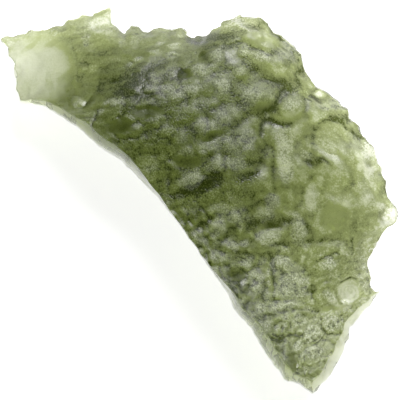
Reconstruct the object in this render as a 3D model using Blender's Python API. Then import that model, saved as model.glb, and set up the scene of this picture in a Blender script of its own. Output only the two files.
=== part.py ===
"""A moldavite: one broken, etched piece of natural green glass, lying on its underside.

The plan is drawn looking straight down on the stone, in millimetres, x to the right and y down from
the drawing's top left corner. Four edges bound it: the break along the hollow side, the thin left end,
the ragged rim along the outer side, and the broken tip edge at the lower right. A place on the stone is
given by two shares: along, from the left end to the tip edge, and across, from the break to the rim.
The finished mesh is in metres with Z up, its origin at the centre of its box, on the resting plane.
"""

import bmesh
import bpy
import numpy as np

NODE_NAME = "moldavite"
MM = 0.001

# Grid of the solid
CELLS_ALONG = 60
CELLS_ACROSS = 24

# Plan edges, in millimetres on the drawing. Break and rim run towards the tip, ends run towards the rim.
BREAK_EDGE = (
    (2.2, 10.2), (3.5, 10.3), (4.8, 10.7), (6.4, 11.7), (8.4, 13.1), (10.2, 14.7), (12.0, 15.8),
    (13.9, 17.6), (15.7, 19.5), (17.2, 21.3), (18.7, 23.2), (20.2, 25.4), (21.6, 27.5), (22.9, 29.4),
    (23.4, 30.8), (25.1, 32.6), (26.6, 35.2), (28.0, 37.0), (28.4, 37.7), (29.8, 38.2), (31.2, 39.2),
)
LEFT_END = ((2.2, 10.2), (1.8, 8.8), (1.7, 7.5), (1.1, 5.4), (0.2, 3.9))
RIM_EDGE = (
    (0.2, 3.9), (1.0, 3.5), (2.5, 3.4), (3.4, 2.8), (5.0, 2.8), (7.2, 1.8), (9.2, 1.3), (11.1, 0.6),
    (11.4, 2.2), (12.7, 3.3), (13.3, 2.3), (14.2, 2.9), (16.5, 2.6), (18.3, 2.6), (19.4, 3.8), (20.6, 3.6),
    (21.2, 3.0), (22.4, 2.0), (23.9, 1.5), (25.9, 1.6), (27.2, 2.8), (28.1, 3.6), (29.6, 4.6), (30.4, 6.8),
    (31.6, 8.7), (33.3, 9.6), (34.8, 10.8), (36.3, 13.5), (37.7, 15.3), (38.6, 18.1), (38.8, 19.6),
    (39.8, 21.3), (39.7, 22.0), (38.2, 23.3), (37.6, 24.4), (37.1, 25.6), (37.1, 27.4), (37.9, 29.4),
)
TIP_EDGE = (
    (31.2, 39.2), (32.2, 38.2), (32.8, 37.8), (33.6, 36.4), (34.1, 35.8), (34.9, 33.8), (35.0, 32.8),
    (36.2, 31.3), (37.9, 29.4),
)

# Which share of the break's length faces which share of the rim's
BREAK_SHARES = (0.0, 0.20, 0.45, 0.72, 1.0)
RIM_SHARES = (0.0, 0.25, 0.53, 0.86, 1.0)

# Thickness in millimetres: one row for each share along, one column for each share across
THICKNESS_ALONG = (0.0, 0.12, 0.25, 0.35, 0.50, 0.65, 0.80, 0.92, 1.0)
THICKNESS_ACROSS = (0.0, 0.33, 0.67, 0.92, 1.0)
THICKNESS = (
    (1.6, 1.4, 1.2, 1.0, 0.8),
    (5.4, 3.5, 2.6, 1.8, 0.9),
    (7.2, 7.6, 5.5, 2.8, 1.1),
    (6.6, 7.8, 6.0, 2.6, 1.1),
    (6.3, 7.0, 4.6, 2.1, 1.0),
    (5.9, 3.8, 3.6, 2.0, 0.9),
    (5.6, 3.0, 2.9, 1.1, 0.8),
    (4.8, 2.5, 2.0, 1.2, 0.8),
    (3.0, 2.2, 2.0, 1.4, 0.8),
)
THINNEST = 0.5

# How far the broken walls lean inwards from the underside to the top face, in millimetres
LEAN_STATIONS = (0.0, 0.12, 0.30, 0.42, 0.65, 0.72, 1.0)
BREAK_LEAN = (0.2, 0.9, 0.9, 0.3, 0.3, 0.7, 1.1)
TIP_LEAN_STATIONS = (0.0, 0.4, 0.8, 1.0)
TIP_LEAN = (1.1, 1.4, 1.1, 0.3)
RIM_LEAN = 0.12

# Underside: a shallow bowl, longer along the stone, cut flat where it meets the surface below. Its turn
# is clockwise from the drawing's x, its rises are in millimetres for each square millimetre away.
REST_CENTRE = (23.0, 16.9)
BOWL_TURN = 45
BOWL_RISE_ALONG = 0.004
BOWL_RISE_ACROSS = 0.017
REST_DEPTH = 0.15

# Hummocks and hollows of the top face: centre, half length and half width, turn in degrees, height.
# Millimetres, with the turn anticlockwise as seen from above.
TOP_RELIEF = (
    ((26.2, 9.4), (2.3, 1.7), 0, 0.55),
    ((29.3, 10.5), (2.3, 2.1), 0, 0.60),
    ((33.6, 14.0), (2.3, 2.2), 0, 0.60),
    ((31.2, 19.3), (1.2, 1.7), 0, 0.40),
    ((33.5, 18.8), (1.5, 1.5), 0, 0.40),
    ((35.0, 22.0), (2.2, 1.9), 0, 0.35),
    ((22.0, 12.2), (2.4, 1.5), 20, 0.40),
    ((16.3, 9.2), (2.2, 1.2), 10, 0.35),
    ((18.2, 18.4), (2.2, 1.3), 15, 0.35),
    ((31.2, 33.2), (1.9, 1.7), 0, 0.35),
    ((28.4, 15.8), (1.2, 3.4), 0, -0.55),
    ((34.5, 29.0), (1.6, 1.6), 0, -0.50),
    ((19.2, 19.6), (2.8, 0.9), 23, -0.60),
    ((24.8, 18.6), (2.2, 0.9), 21, -0.60),
    ((14.0, 11.7), (2.9, 1.1), 5, -0.60),
    ((9.3, 10.4), (1.6, 0.9), 60, -0.50),
    ((28.6, 25.4), (2.0, 1.6), 0, -0.40),
)
# Hollows of the underside, clear of the resting spot
UNDER_RELIEF = (
    ((9.0, 8.0), (3.0, 2.0), 0, 0.50),
    ((14.0, 7.2), (2.6, 1.6), 15, 0.45),
    ((28.5, 8.5), (2.8, 2.2), 0, 0.60),
    ((33.0, 17.5), (3.0, 2.4), 80, 0.60),
    ((27.5, 23.0), (2.6, 2.2), 40, 0.50),
    ((32.5, 27.0), (2.4, 2.6), 0, 0.55),
    ((30.0, 34.0), (2.4, 1.6), 60, 0.45),
)

# Glass
GLASS_COLOUR = (0.30, 0.38, 0.16, 1.0)
GLASS_ROUGHNESS = 0.15
GLASS_IOR = 1.49


def clear_scene():
    """Remove every object that the opened file holds."""
    for found in list(bpy.data.objects):
        bpy.data.objects.remove(found, do_unlink=True)


def cubic_between(start, end, start_slope, end_slope, share):
    """Cubic curve from start to end, by share of the way, with its slopes given per whole way."""
    blend = share * share * (3 - 2 * share)
    leaving = start_slope * share * (1 - share) ** 2
    arriving = end_slope * (share - 1) * share ** 2
    return start * (1 - blend) + end * blend + leaving + arriving


def span_at(knots, where):
    """Index of the knot before each place, the span to the next knot and the share of it covered."""
    left = np.clip(np.searchsorted(knots, where, side="right") - 1, 0, len(knots) - 2)
    span = knots[left + 1] - knots[left]
    return left, span, (where - knots[left]) / span


def smooth_through(knots, values, where):
    """Cubic curve through values given at the knots, its slopes taken across each knot's neighbours."""
    knots = np.asarray(knots, float)
    values = np.asarray(values, float)
    slopes = np.gradient(values, knots)
    left, span, share = span_at(knots, where)
    return cubic_between(values[left], values[left + 1], slopes[left] * span, slopes[left + 1] * span, share)


def edge_point(points, share):
    """Point on a plan edge at a share of its length, on straight runs between the drawn points."""
    points = np.asarray(points, float)
    steps = np.linalg.norm(np.diff(points, axis=0), axis=1)
    run = np.concatenate(([0.0], np.cumsum(steps))) / steps.sum()
    return np.stack([np.interp(share, run, points[:, axis]) for axis in (0, 1)], axis=-1)


def plan_point(along, across):
    """Coons patch: the mean of the two ruled surfaces between opposite edges, less their corner part."""
    s = along[:, None]
    t = across[:, None]
    rim_along = smooth_through(BREAK_SHARES, RIM_SHARES, along)
    between_sides = (1 - t) * edge_point(BREAK_EDGE, along) + t * edge_point(RIM_EDGE, rim_along)
    between_ends = (1 - s) * edge_point(LEFT_END, across) + s * edge_point(TIP_EDGE, across)
    left_corners = (1 - t) * np.array(BREAK_EDGE[0]) + t * np.array(RIM_EDGE[0])
    right_corners = (1 - t) * np.array(BREAK_EDGE[-1]) + t * np.array(RIM_EDGE[-1])
    return between_sides + between_ends - (1 - s) * left_corners - s * right_corners


def thickness(along, across):
    """Thickness from the table: a curve across each row, then a curve along through the rows."""
    shares = np.asarray(THICKNESS_ALONG, float)
    rows = np.stack([smooth_through(THICKNESS_ACROSS, row, across) for row in THICKNESS])
    slopes = np.gradient(rows, shares, axis=0)
    left, span, share = span_at(shares, along)
    here = np.arange(len(along))
    start_slope = slopes[left, here] * span
    end_slope = slopes[left + 1, here] * span
    return cubic_between(rows[left, here], rows[left + 1, here], start_slope, end_slope, share)


def turned_offset(plan, centre, turn):
    """Offsets from a centre along and across a direction turned anticlockwise as seen from above."""
    angle = np.radians(turn)
    right, down = (plan - np.array(centre)).T
    return right * np.cos(angle) - down * np.sin(angle), right * np.sin(angle) + down * np.cos(angle)


def relief(plan, features):
    """Sum of soft mounds, each its height times (1 - r squared) squared, r being 1 on its ellipse."""
    total = np.zeros(len(plan))
    for centre, half_sizes, turn, height in features:
        length_way, width_way = turned_offset(plan, centre, turn)
        r_squared = (length_way / half_sizes[0]) ** 2 + (width_way / half_sizes[1]) ** 2
        total += height * np.clip(1 - r_squared, 0, None) ** 2
    return total


def underside_height(plan):
    """Bowl that rises with the squares of the distances along and across it, and is flat on the spot."""
    length_way, width_way = turned_offset(plan, REST_CENTRE, -BOWL_TURN)
    bowl = BOWL_RISE_ALONG * length_way ** 2 + BOWL_RISE_ACROSS * width_way ** 2 - REST_DEPTH
    return np.clip(bowl + relief(plan, UNDER_RELIEF) * (bowl > 0), 0, None)


def leaned_shares(along, across):
    """Shares of the top face's vertices, drawn in from the edges by the lean of the broken walls."""
    far_side = np.linalg.norm(plan_point(along, np.ones_like(along))
                              - plan_point(along, np.zeros_like(along)), axis=1)
    far_end = np.linalg.norm(plan_point(np.ones_like(across), across)
                             - plan_point(np.zeros_like(across), across), axis=1)
    break_lean = smooth_through(LEAN_STATIONS, BREAK_LEAN, along) / far_side
    rim_lean = RIM_LEAN / far_side
    tip_lean = np.interp(across, TIP_LEAN_STATIONS, TIP_LEAN) / far_end
    left_lean = RIM_LEAN / far_end
    return (left_lean + along * (1 - left_lean - tip_lean),
            break_lean + across * (1 - break_lean - rim_lean))


def glass_sheet(bm):
    """Flat grid, extruded into a closed sheet, whose vertices remember their shares and their face."""
    along = bm.verts.layers.float.new("along")
    across = bm.verts.layers.float.new("across")
    bmesh.ops.create_grid(bm, x_segments=CELLS_ALONG, y_segments=CELLS_ACROSS, size=0.5)
    for vert in bm.verts:
        vert[along] = vert.co.x + 0.5
        vert[across] = vert.co.y + 0.5
    under = list(bm.verts)
    raised = bmesh.ops.extrude_face_region(bm, geom=bm.faces[:])
    top = [found for found in raised["geom"] if isinstance(found, bmesh.types.BMVert)]
    shares_under = np.array([(vert[along], vert[across]) for vert in under])
    shares_top = np.array([(vert[along], vert[across]) for vert in top])
    return under, top, shares_under, shares_top


def place(verts, plan, height):
    """Turn drawing millimetres into metres with Y up the drawing, and move the vertices there."""
    for vert, spot, rise in zip(verts, plan, height):
        vert.co = (spot[0] * MM, -spot[1] * MM, rise * MM)


def centre_on_box(bm):
    """Move the mesh so that its box is centred on the origin in plan, and stands on the plane below."""
    places = np.array([vert.co for vert in bm.verts])
    low = places.min(axis=0)
    high = places.max(axis=0)
    shift = (-(low[0] + high[0]) / 2, -(low[1] + high[1]) / 2, -low[2])
    bmesh.ops.translate(bm, verts=bm.verts[:], vec=shift)


def glass_material():
    """Clear green glass: full transmission, with the etched skin's roughness."""
    material = bpy.data.materials.new("green_glass")
    material.use_nodes = True
    shader = material.node_tree.nodes["Principled BSDF"]
    shader.inputs["Base Color"].default_value = GLASS_COLOUR
    shader.inputs["Metallic"].default_value = 0.0
    shader.inputs["Roughness"].default_value = GLASS_ROUGHNESS
    shader.inputs["IOR"].default_value = GLASS_IOR
    shader.inputs["Transmission Weight"].default_value = 1.0
    return material


def make_stone():
    """The whole stone as one closed solid."""
    bm = bmesh.new()
    under, top, shares_under, shares_top = glass_sheet(bm)

    plan_under = plan_point(shares_under[:, 0], shares_under[:, 1])
    place(under, plan_under, underside_height(plan_under))

    along, across = leaned_shares(shares_top[:, 0], shares_top[:, 1])
    plan_top = plan_point(along, across)
    depth = thickness(along, across) + relief(plan_top, TOP_RELIEF)
    place(top, plan_top, underside_height(plan_top) + np.maximum(depth, THINNEST))

    centre_on_box(bm)
    bmesh.ops.triangulate(bm, faces=bm.faces[:])
    bmesh.ops.recalc_face_normals(bm, faces=bm.faces[:])
    mesh = bpy.data.meshes.new(NODE_NAME)
    bm.to_mesh(mesh)
    bm.free()
    mesh.shade_smooth()
    mesh.set_sharp_from_angle(angle=np.radians(40))
    mesh.materials.append(glass_material())
    stone = bpy.data.objects.new(NODE_NAME, mesh)
    bpy.context.scene.collection.objects.link(stone)
    return stone


clear_scene()
make_stone()
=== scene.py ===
"""The moldavite's looks: etched green natural glass, its fine relief, its breaks and the light table below.

Plan places are millimetres on a drawing seen straight down, x to the right and y down from its top left
corner, as in the solid. A place on the stone is also given by two shares: along, from the left end to
the tip edge, and across, from the break to the rim.
"""

import bpy
import numpy as np
from bpy.props import FloatProperty, FloatVectorProperty, IntProperty, PointerProperty
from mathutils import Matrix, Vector


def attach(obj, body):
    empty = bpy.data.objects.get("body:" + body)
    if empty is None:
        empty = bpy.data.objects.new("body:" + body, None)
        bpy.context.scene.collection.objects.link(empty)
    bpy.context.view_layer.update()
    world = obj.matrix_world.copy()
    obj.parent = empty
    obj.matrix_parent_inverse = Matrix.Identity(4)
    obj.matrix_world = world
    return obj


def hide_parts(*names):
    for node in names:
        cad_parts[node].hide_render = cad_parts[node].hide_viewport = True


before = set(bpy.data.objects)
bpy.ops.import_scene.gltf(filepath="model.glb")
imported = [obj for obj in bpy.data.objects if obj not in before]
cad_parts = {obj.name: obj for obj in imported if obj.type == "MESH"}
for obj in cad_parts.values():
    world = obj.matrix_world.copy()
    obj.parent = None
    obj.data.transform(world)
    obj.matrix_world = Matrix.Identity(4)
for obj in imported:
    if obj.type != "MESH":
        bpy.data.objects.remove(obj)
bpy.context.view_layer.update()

bl_info = {
    "name": "Moldavite",
    "version": (1, 0, 0),
    "blender": (4, 5, 0),
    "location": "3D View > Sidebar > Moldavite",
    "description": "Etched green natural glass modelled by formula, on a light table",
    "category": "Object",
}

MM = 0.001
CAD_NODE = "moldavite"

# Plan edges, as in the solid. Break and rim run towards the tip, ends run towards the rim.
BREAK_EDGE = (
    (2.2, 10.2), (3.5, 10.3), (4.8, 10.7), (6.4, 11.7), (8.4, 13.1), (10.2, 14.7), (12.0, 15.8),
    (13.9, 17.6), (15.7, 19.5), (17.2, 21.3), (18.7, 23.2), (20.2, 25.4), (21.6, 27.5), (22.9, 29.4),
    (23.4, 30.8), (25.1, 32.6), (26.6, 35.2), (28.0, 37.0), (28.4, 37.7), (29.8, 38.2), (31.2, 39.2),
)
LEFT_END = ((2.2, 10.2), (2.0, 9.7), (1.8, 8.8), (1.7, 7.5), (1.4, 6.2), (1.1, 5.4), (0.2, 3.9))
RIM_EDGE = (
    (0.2, 3.9), (1.0, 3.5), (2.5, 3.4), (3.4, 2.8), (3.6, 3.1), (5.0, 2.8), (6.2, 2.4), (7.2, 1.8),
    (8.0, 1.6), (9.2, 1.3), (10.5, 0.8), (11.1, 0.6), (11.3, 0.9), (11.4, 2.2), (11.8, 2.6), (12.1, 3.0),
    (12.7, 3.3), (13.0, 2.7), (13.3, 2.3), (13.8, 2.5), (14.2, 2.9), (15.0, 3.0), (16.5, 2.6), (17.2, 2.8),
    (18.3, 2.6), (18.7, 2.9), (19.0, 3.4), (19.4, 3.8), (19.9, 3.6), (20.6, 3.6), (21.2, 3.0), (22.2, 2.4),
    (22.4, 2.0), (23.1, 1.9), (23.9, 1.5), (25.0, 1.5), (25.9, 1.6), (26.3, 1.9), (27.2, 2.8), (27.7, 3.4),
    (28.1, 3.6), (29.1, 4.4), (29.6, 4.6), (29.8, 5.1), (30.3, 6.0), (30.4, 6.8), (31.2, 8.1), (31.6, 8.7),
    (32.2, 8.9), (33.3, 9.6), (34.4, 10.4), (34.8, 10.8), (35.0, 11.5), (35.9, 12.8), (36.3, 13.5),
    (37.3, 14.7), (37.7, 15.3), (38.1, 16.5), (38.1, 17.1), (38.6, 18.1), (38.8, 19.6), (39.6, 20.6),
    (39.8, 21.3), (39.7, 22.0), (38.8, 22.7), (38.2, 23.3), (37.8, 24.0), (37.5, 24.7), (37.2, 25.2),
    (37.0, 25.8), (37.0, 26.4), (37.1, 27.4), (37.3, 28.4), (37.6, 29.1), (37.9, 29.4),
)
TIP_EDGE = (
    (31.2, 39.2), (31.7, 38.9), (32.2, 38.2), (32.8, 37.8), (33.2, 37.2), (33.6, 36.4), (34.1, 35.8),
    (34.6, 34.5), (34.9, 33.8), (35.0, 32.8), (35.6, 32.0), (36.2, 31.3), (37.4, 30.1), (37.9, 29.4),
)

# Which share of the break's length faces which share of the rim's
BREAK_SHARES = (0.0, 0.2, 0.45, 0.72, 1.0)
RIM_SHARES = (0.0, 0.25, 0.53, 0.86, 1.0)
# How far along the rim its course is evened out for the inside of the plan, and where the teeth come in
EVENED_REACH = 0.05
EVENED_STEPS = (-1.0, -0.75, -0.5, -0.25, 0.0, 0.25, 0.5, 0.75, 1.0)
TEETH_POWER = 10

# Thickness in millimetres, as in the solid: a row for each share along, a column for each share across
THICKNESS_ALONG = (0.0, 0.12, 0.25, 0.35, 0.5, 0.65, 0.8, 0.92, 1.0)
THICKNESS_ACROSS = (0.0, 0.33, 0.67, 0.92, 1.0)
THICKNESS = (
    (1.6, 1.4, 1.2, 1.0, 0.8), (5.4, 3.5, 2.6, 1.8, 0.9), (7.2, 7.6, 5.5, 2.8, 1.1),
    (6.6, 7.8, 6.0, 2.6, 1.1), (6.3, 7.0, 4.6, 2.1, 1.0), (5.9, 3.8, 3.6, 2.0, 0.9),
    (5.6, 3.0, 2.9, 1.1, 0.8), (4.8, 2.5, 2.0, 1.2, 0.8), (3.0, 2.2, 2.0, 1.4, 0.8),
)
THINNEST = 0.35

# Lean of the broken walls in from the underside to the top face, in millimetres
LEAN_STATIONS = (0.0, 0.12, 0.3, 0.42, 0.65, 0.72, 1.0)
BREAK_LEAN = (0.2, 0.9, 0.9, 0.3, 0.3, 0.7, 1.1)
TIP_LEAN_STATIONS = (0.0, 0.4, 0.8, 1.0)
TIP_LEAN = (1.1, 1.4, 1.1, 0.3)
RIM_LEAN = 0.12

# Underside, as in the solid
REST_CENTRE = (23.0, 16.9)
BOWL_TURN = 45.0
BOWL_RISE_ALONG = 0.004
BOWL_RISE_ACROSS = 0.017
REST_DEPTH = 0.15

# Mounds of the top face: centre, half length and half width, turn anticlockwise, height, fullness
MOUNDS = (
    ((26.3, 9.7), (2.1, 1.45), 12, 0.6, 2.5), ((29.2, 10.7), (1.6, 1.45), 0, 0.6, 2.5),
    ((26.4, 5.8), (1.2, 0.75), 0, 0.3, 2.5), ((26.2, 4.1), (1.8, 0.95), -12, 0.3, 2.5),
    ((24.5, 5.4), (0.8, 0.4), 8, 0.2, 2.0), ((24.2, 7.3), (0.75, 0.7), 0, 0.25, 2.5),
    ((22.3, 8.7), (0.8, 0.95), 0, 0.3, 2.5), ((21.8, 5.7), (0.9, 0.9), 0, 0.3, 2.5),
    ((20.1, 7.1), (0.85, 0.8), 0, 0.35, 2.5), ((21.3, 6.7), (0.5, 0.35), 0, 0.2, 2.5),
    ((26.8, 11.6), (0.3, 0.32), 0, 0.22, 2.0), ((26.5, 21.3), (1.0, 0.7), 0, 0.3, 2.5),
    ((26.8, 23.8), (1.3, 0.8), 0, 0.38, 2.5), ((28.2, 26.3), (1.25, 0.9), 10, 0.32, 2.5),
    ((29.8, 22.9), (0.8, 1.7), 5, 0.38, 3.0), ((29.3, 21.4), (0.9, 0.45), 0, 0.25, 2.5),
    ((30.6, 24.6), (0.42, 0.48), 0, 0.25, 2.5), ((32.9, 26.4), (1.05, 0.75), 5, 0.32, 2.5),
    ((33.1, 29.6), (1.1, 0.7), -38, 0.32, 2.5), ((33.1, 32.2), (1.15, 1.15), 0, 0.38, 3.0),
    ((31.3, 33.1), (1.0, 0.95), 0, 0.32, 2.5), ((31.1, 35.0), (1.05, 0.68), 15, 0.35, 3.0),
    ((30.9, 30.8), (0.6, 0.5), 0, 0.2, 2.5), ((29.5, 28.5), (1.3, 1.5), 0, 0.3, 2.5),
    ((25.8, 27.4), (0.5, 0.42), 0, 0.24, 2.5), ((25.7, 28.6), (0.6, 0.62), 0, 0.3, 2.5),
    ((27.0, 27.2), (0.33, 0.52), 0, 0.2, 2.0), ((27.0, 28.35), (0.33, 0.5), 0, 0.2, 2.0),
    ((27.6, 29.4), (0.28, 0.4), 0, 0.18, 2.0), ((26.3, 32.5), (0.7, 0.6), 0, 0.3, 2.5),
    ((27.75, 32.7), (0.3, 0.58), -22, 0.22, 2.0), ((28.5, 32.55), (0.28, 0.58), -14, 0.22, 2.0),
    ((28.6, 31.6), (0.65, 0.35), 25, 0.2, 2.0), ((29.8, 31.5), (0.55, 0.3), 45, 0.16, 2.0),
    ((26.2, 30.6), (0.8, 0.75), 0, 0.24, 2.5), ((28.4, 30.4), (1.3, 0.55), 8, 0.22, 2.5),
    ((29.9, 34.4), (0.5, 0.9), -10, 0.24, 2.5), ((28.3, 34.2), (0.7, 0.35), 0, 0.18, 2.0),
    ((28.4, 35.6), (0.5, 0.5), 0, 0.2, 2.0), ((23.4, 24.5), (0.55, 0.5), 0, 0.28, 2.5),
    ((24.6, 24.3), (0.55, 0.6), 0, 0.24, 2.5), ((23.4, 21.5), (0.6, 0.7), 0, 0.28, 2.5),
    ((21.8, 22.6), (1.05, 0.95), 25, 0.4, 2.5), ((21.9, 23.4), (0.5, 0.45), 0, 0.16, 2.0),
    ((19.6, 23.5), (0.45, 0.45), 0, 0.3, 2.0), ((21.4, 25.7), (0.5, 0.45), 0, 0.2, 2.0),
    ((24.8, 26.4), (0.5, 0.5), 0, 0.22, 2.0), ((19.0, 18.1), (1.65, 0.95), 22, 0.5, 2.5),
    ((21.9, 16.3), (0.65, 0.95), 0, 0.42, 3.0), ((22.9, 16.2), (0.25, 0.9), 0, 0.25, 2.0),
    ((20.1, 12.6), (0.75, 0.75), 0, 0.3, 2.5), ((21.3, 12.6), (0.4, 0.75), 0, 0.3, 2.5),
    ((22.4, 11.8), (0.9, 0.6), 12, 0.28, 2.5), ((21.6, 10.35), (0.45, 0.32), 25, 0.2, 2.0),
    ((19.65, 10.4), (0.32, 0.28), 0, 0.15, 2.0), ((20.4, 15.3), (0.5, 0.32), 10, 0.2, 2.0),
    ((21.2, 14.85), (0.5, 0.4), 30, 0.22, 2.0), ((22.8, 14.1), (0.6, 0.35), 25, 0.22, 2.0),
    ((24.8, 13.4), (0.85, 0.7), 5, 0.3, 2.5), ((24.9, 14.8), (0.85, 0.5), 10, 0.22, 2.5),
    ((15.3, 9.1), (0.75, 0.45), 0, 0.26, 3.0), ((16.8, 9.1), (0.85, 0.5), 5, 0.26, 2.5),
    ((15.6, 8.0), (0.7, 0.7), 0, 0.15, 2.0), ((19.3, 9.2), (1.1, 0.75), 5, 0.32, 2.5),
    ((19.2, 8.25), (0.95, 0.35), 5, 0.15, 2.0), ((14.0, 12.9), (0.45, 0.45), 0, 0.18, 2.0),
    ((18.7, 10.9), (0.5, 0.18), -20, 0.18, 2.0), ((15.6, 5.35), (0.65, 0.24), 12, 0.18, 2.0),
    ((17.2, 5.5), (0.75, 0.25), 12, 0.18, 2.0), ((17.6, 4.6), (0.9, 0.3), 15, 0.2, 2.0),
    ((14.2, 6.1), (0.6, 0.25), 10, 0.15, 2.0), ((13.3, 6.65), (0.4, 0.35), 0, 0.15, 2.0),
    ((8.0, 10.3), (0.8, 0.65), 20, 0.2, 2.5), ((11.6, 10.3), (1.5, 0.35), 15, 0.15, 2.0),
    ((10.4, 11.3), (0.6, 0.3), 30, 0.12, 2.0),
)
# Pits in the same terms: the fuller, the flatter the bottom and the steeper the wall
PITS = (
    ((33.2, 13.8), (2.0, 1.85), 0, 0.45, 4.0), ((28.5, 15.6), (0.95, 2.8), 0, 0.3, 4.0),
    ((28.4, 19.8), (0.5, 1.1), 0, 0.2, 3.0), ((29.75, 19.7), (0.42, 1.1), 0, 0.2, 3.0),
    ((31.2, 19.5), (1.0, 1.75), -12, 0.38, 4.0), ((33.6, 18.9), (1.35, 1.2), 0, 0.35, 4.0),
    ((34.1, 17.95), (0.42, 0.38), 0, 0.1, 2.0), ((34.9, 29.0), (1.38, 1.38), 0, 0.4, 3.5),
    ((31.9, 9.4), (0.62, 0.52), 0, 2.2, 6.0), ((25.0, 2.3), (1.7, 0.7), -24, 1.6, 3.0),
    ((38.7, 21.5), (1.0, 0.9), 0, 1.4, 3.0), ((10.5, 2.3), (1.4, 0.8), 12, 1.2, 3.0),
    ((37.4, 15.6), (0.6, 1.3), -28, 1.2, 3.0), ((3.9, 7.4), (4.0, 3.9), 0, 0.15, 12.0),
)
# Hollows with soft edges: centre, half length and half width, turn anticlockwise, depth
HOLLOWS = (
    ((35.5, 16.25), (0.7, 0.7), 0, 0.3), ((35.3, 17.2), (0.6, 0.55), 0, 0.25),
    ((36.0, 27.0), (0.8, 0.7), 0, 0.4), ((30.5, 11.0), (0.8, 1.2), -10, 0.3),
    ((14.8, 11.4), (2.4, 0.9), 3, 0.16), ((12.2, 12.7), (1.7, 0.9), 10, 0.2),
    ((12.6, 11.6), (1.0, 0.7), 20, 0.3), ((9.3, 10.25), (1.5, 0.55), 50, 0.5),
    ((21.3, 13.75), (1.6, 0.7), 28, 0.4), ((18.9, 16.2), (2.0, 0.9), 0, 0.35),
    ((15.9, 17.0), (1.5, 2.4), 0, 0.25), ((21.5, 17.5), (1.1, 0.75), 5, 0.9),
    ((20.8, 18.5), (1.7, 0.65), 8, 1.0), ((18.2, 19.4), (1.9, 0.6), 10, 0.9),
    ((24.9, 17.7), (1.8, 0.5), 22, 0.9), ((20.3, 5.6), (0.9, 0.9), 0, 0.4),
    ((18.3, 7.3), (1.3, 0.8), 0, 0.3), ((21.2, 7.6), (0.8, 0.6), 0, 0.4),
    ((20.6, 10.9), (1.4, 0.8), 0, 0.35), ((25.2, 6.8), (1.5, 0.8), -20, 0.45),
    ((24.7, 5.9), (0.7, 0.5), 0, 0.3), ((24.6, 11.4), (1.0, 0.6), 0, 0.3),
    ((25.4, 16.2), (1.2, 0.9), 0, 0.3), ((27.2, 22.5), (1.8, 0.6), 5, 0.4),
    ((25.2, 22.3), (0.9, 0.5), 25, 0.5), ((30.9, 24.0), (0.9, 0.6), 0, 0.4),
    ((30.7, 22.6), (0.6, 1.3), 30, 0.35), ((23.8, 27.5), (1.2, 0.8), 0, 0.4),
    ((24.1, 28.2), (0.8, 0.5), 0, 0.4), ((26.2, 29.5), (1.0, 0.5), 0, 0.4),
    ((24.8, 25.2), (1.3, 0.5), 0, 0.4), ((27.8, 33.6), (1.7, 0.6), -5, 0.5),
    ((29.9, 33.3), (1.0, 0.6), 10, 0.35), ((29.2, 36.0), (0.6, 1.3), 0, 0.25),
    ((33.2, 30.7), (1.4, 0.6), 0, 0.3), ((34.2, 31.4), (0.5, 0.9), 0, 0.3),
    ((20.6, 22.1), (1.5, 0.55), 38, 0.5), ((20.8, 23.4), (0.6, 0.5), 0, 0.35),
    ((14.1, 8.9), (1.0, 1.2), 0, 0.4), ((11.6, 8.1), (1.2, 0.6), 15, 0.3),
    ((20.0, 4.1), (1.5, 0.6), 8, 0.6), ((31.9, 16.2), (1.3, 0.6), 15, 0.45),
    ((27.6, 12.4), (1.2, 0.5), 5, 0.6), ((9.0, 6.4), (1.4, 0.4), 0, 0.3),
    ((21.0, 26.4), (0.8, 0.7), 35, 0.5), ((23.6, 28.4), (1.1, 0.6), 30, 0.5),
    ((19.4, 21.4), (1.4, 0.6), 25, 0.45), ((25.0, 22.9), (1.1, 0.5), 0, 0.4),
    ((20.0, 24.6), (0.7, 0.5), 0, 0.4), ((26.6, 25.2), (1.2, 0.4), 0, 0.4),
    ((24.4, 30.6), (0.7, 0.7), 0, 0.4), ((30.6, 26.9), (1.2, 0.5), 10, 0.35),
    ((31.2, 28.9), (0.7, 1.3), 0, 0.3), ((26.9, 31.2), (1.0, 0.4), 0, 0.35),
    ((18.0, 12.2), (1.6, 0.9), 0, 0.3), ((15.2, 13.6), (1.6, 1.0), 0, 0.35),
    ((23.6, 9.6), (1.0, 0.6), 0, 0.35), ((27.2, 7.6), (1.4, 0.7), -10, 0.3),
)
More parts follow.
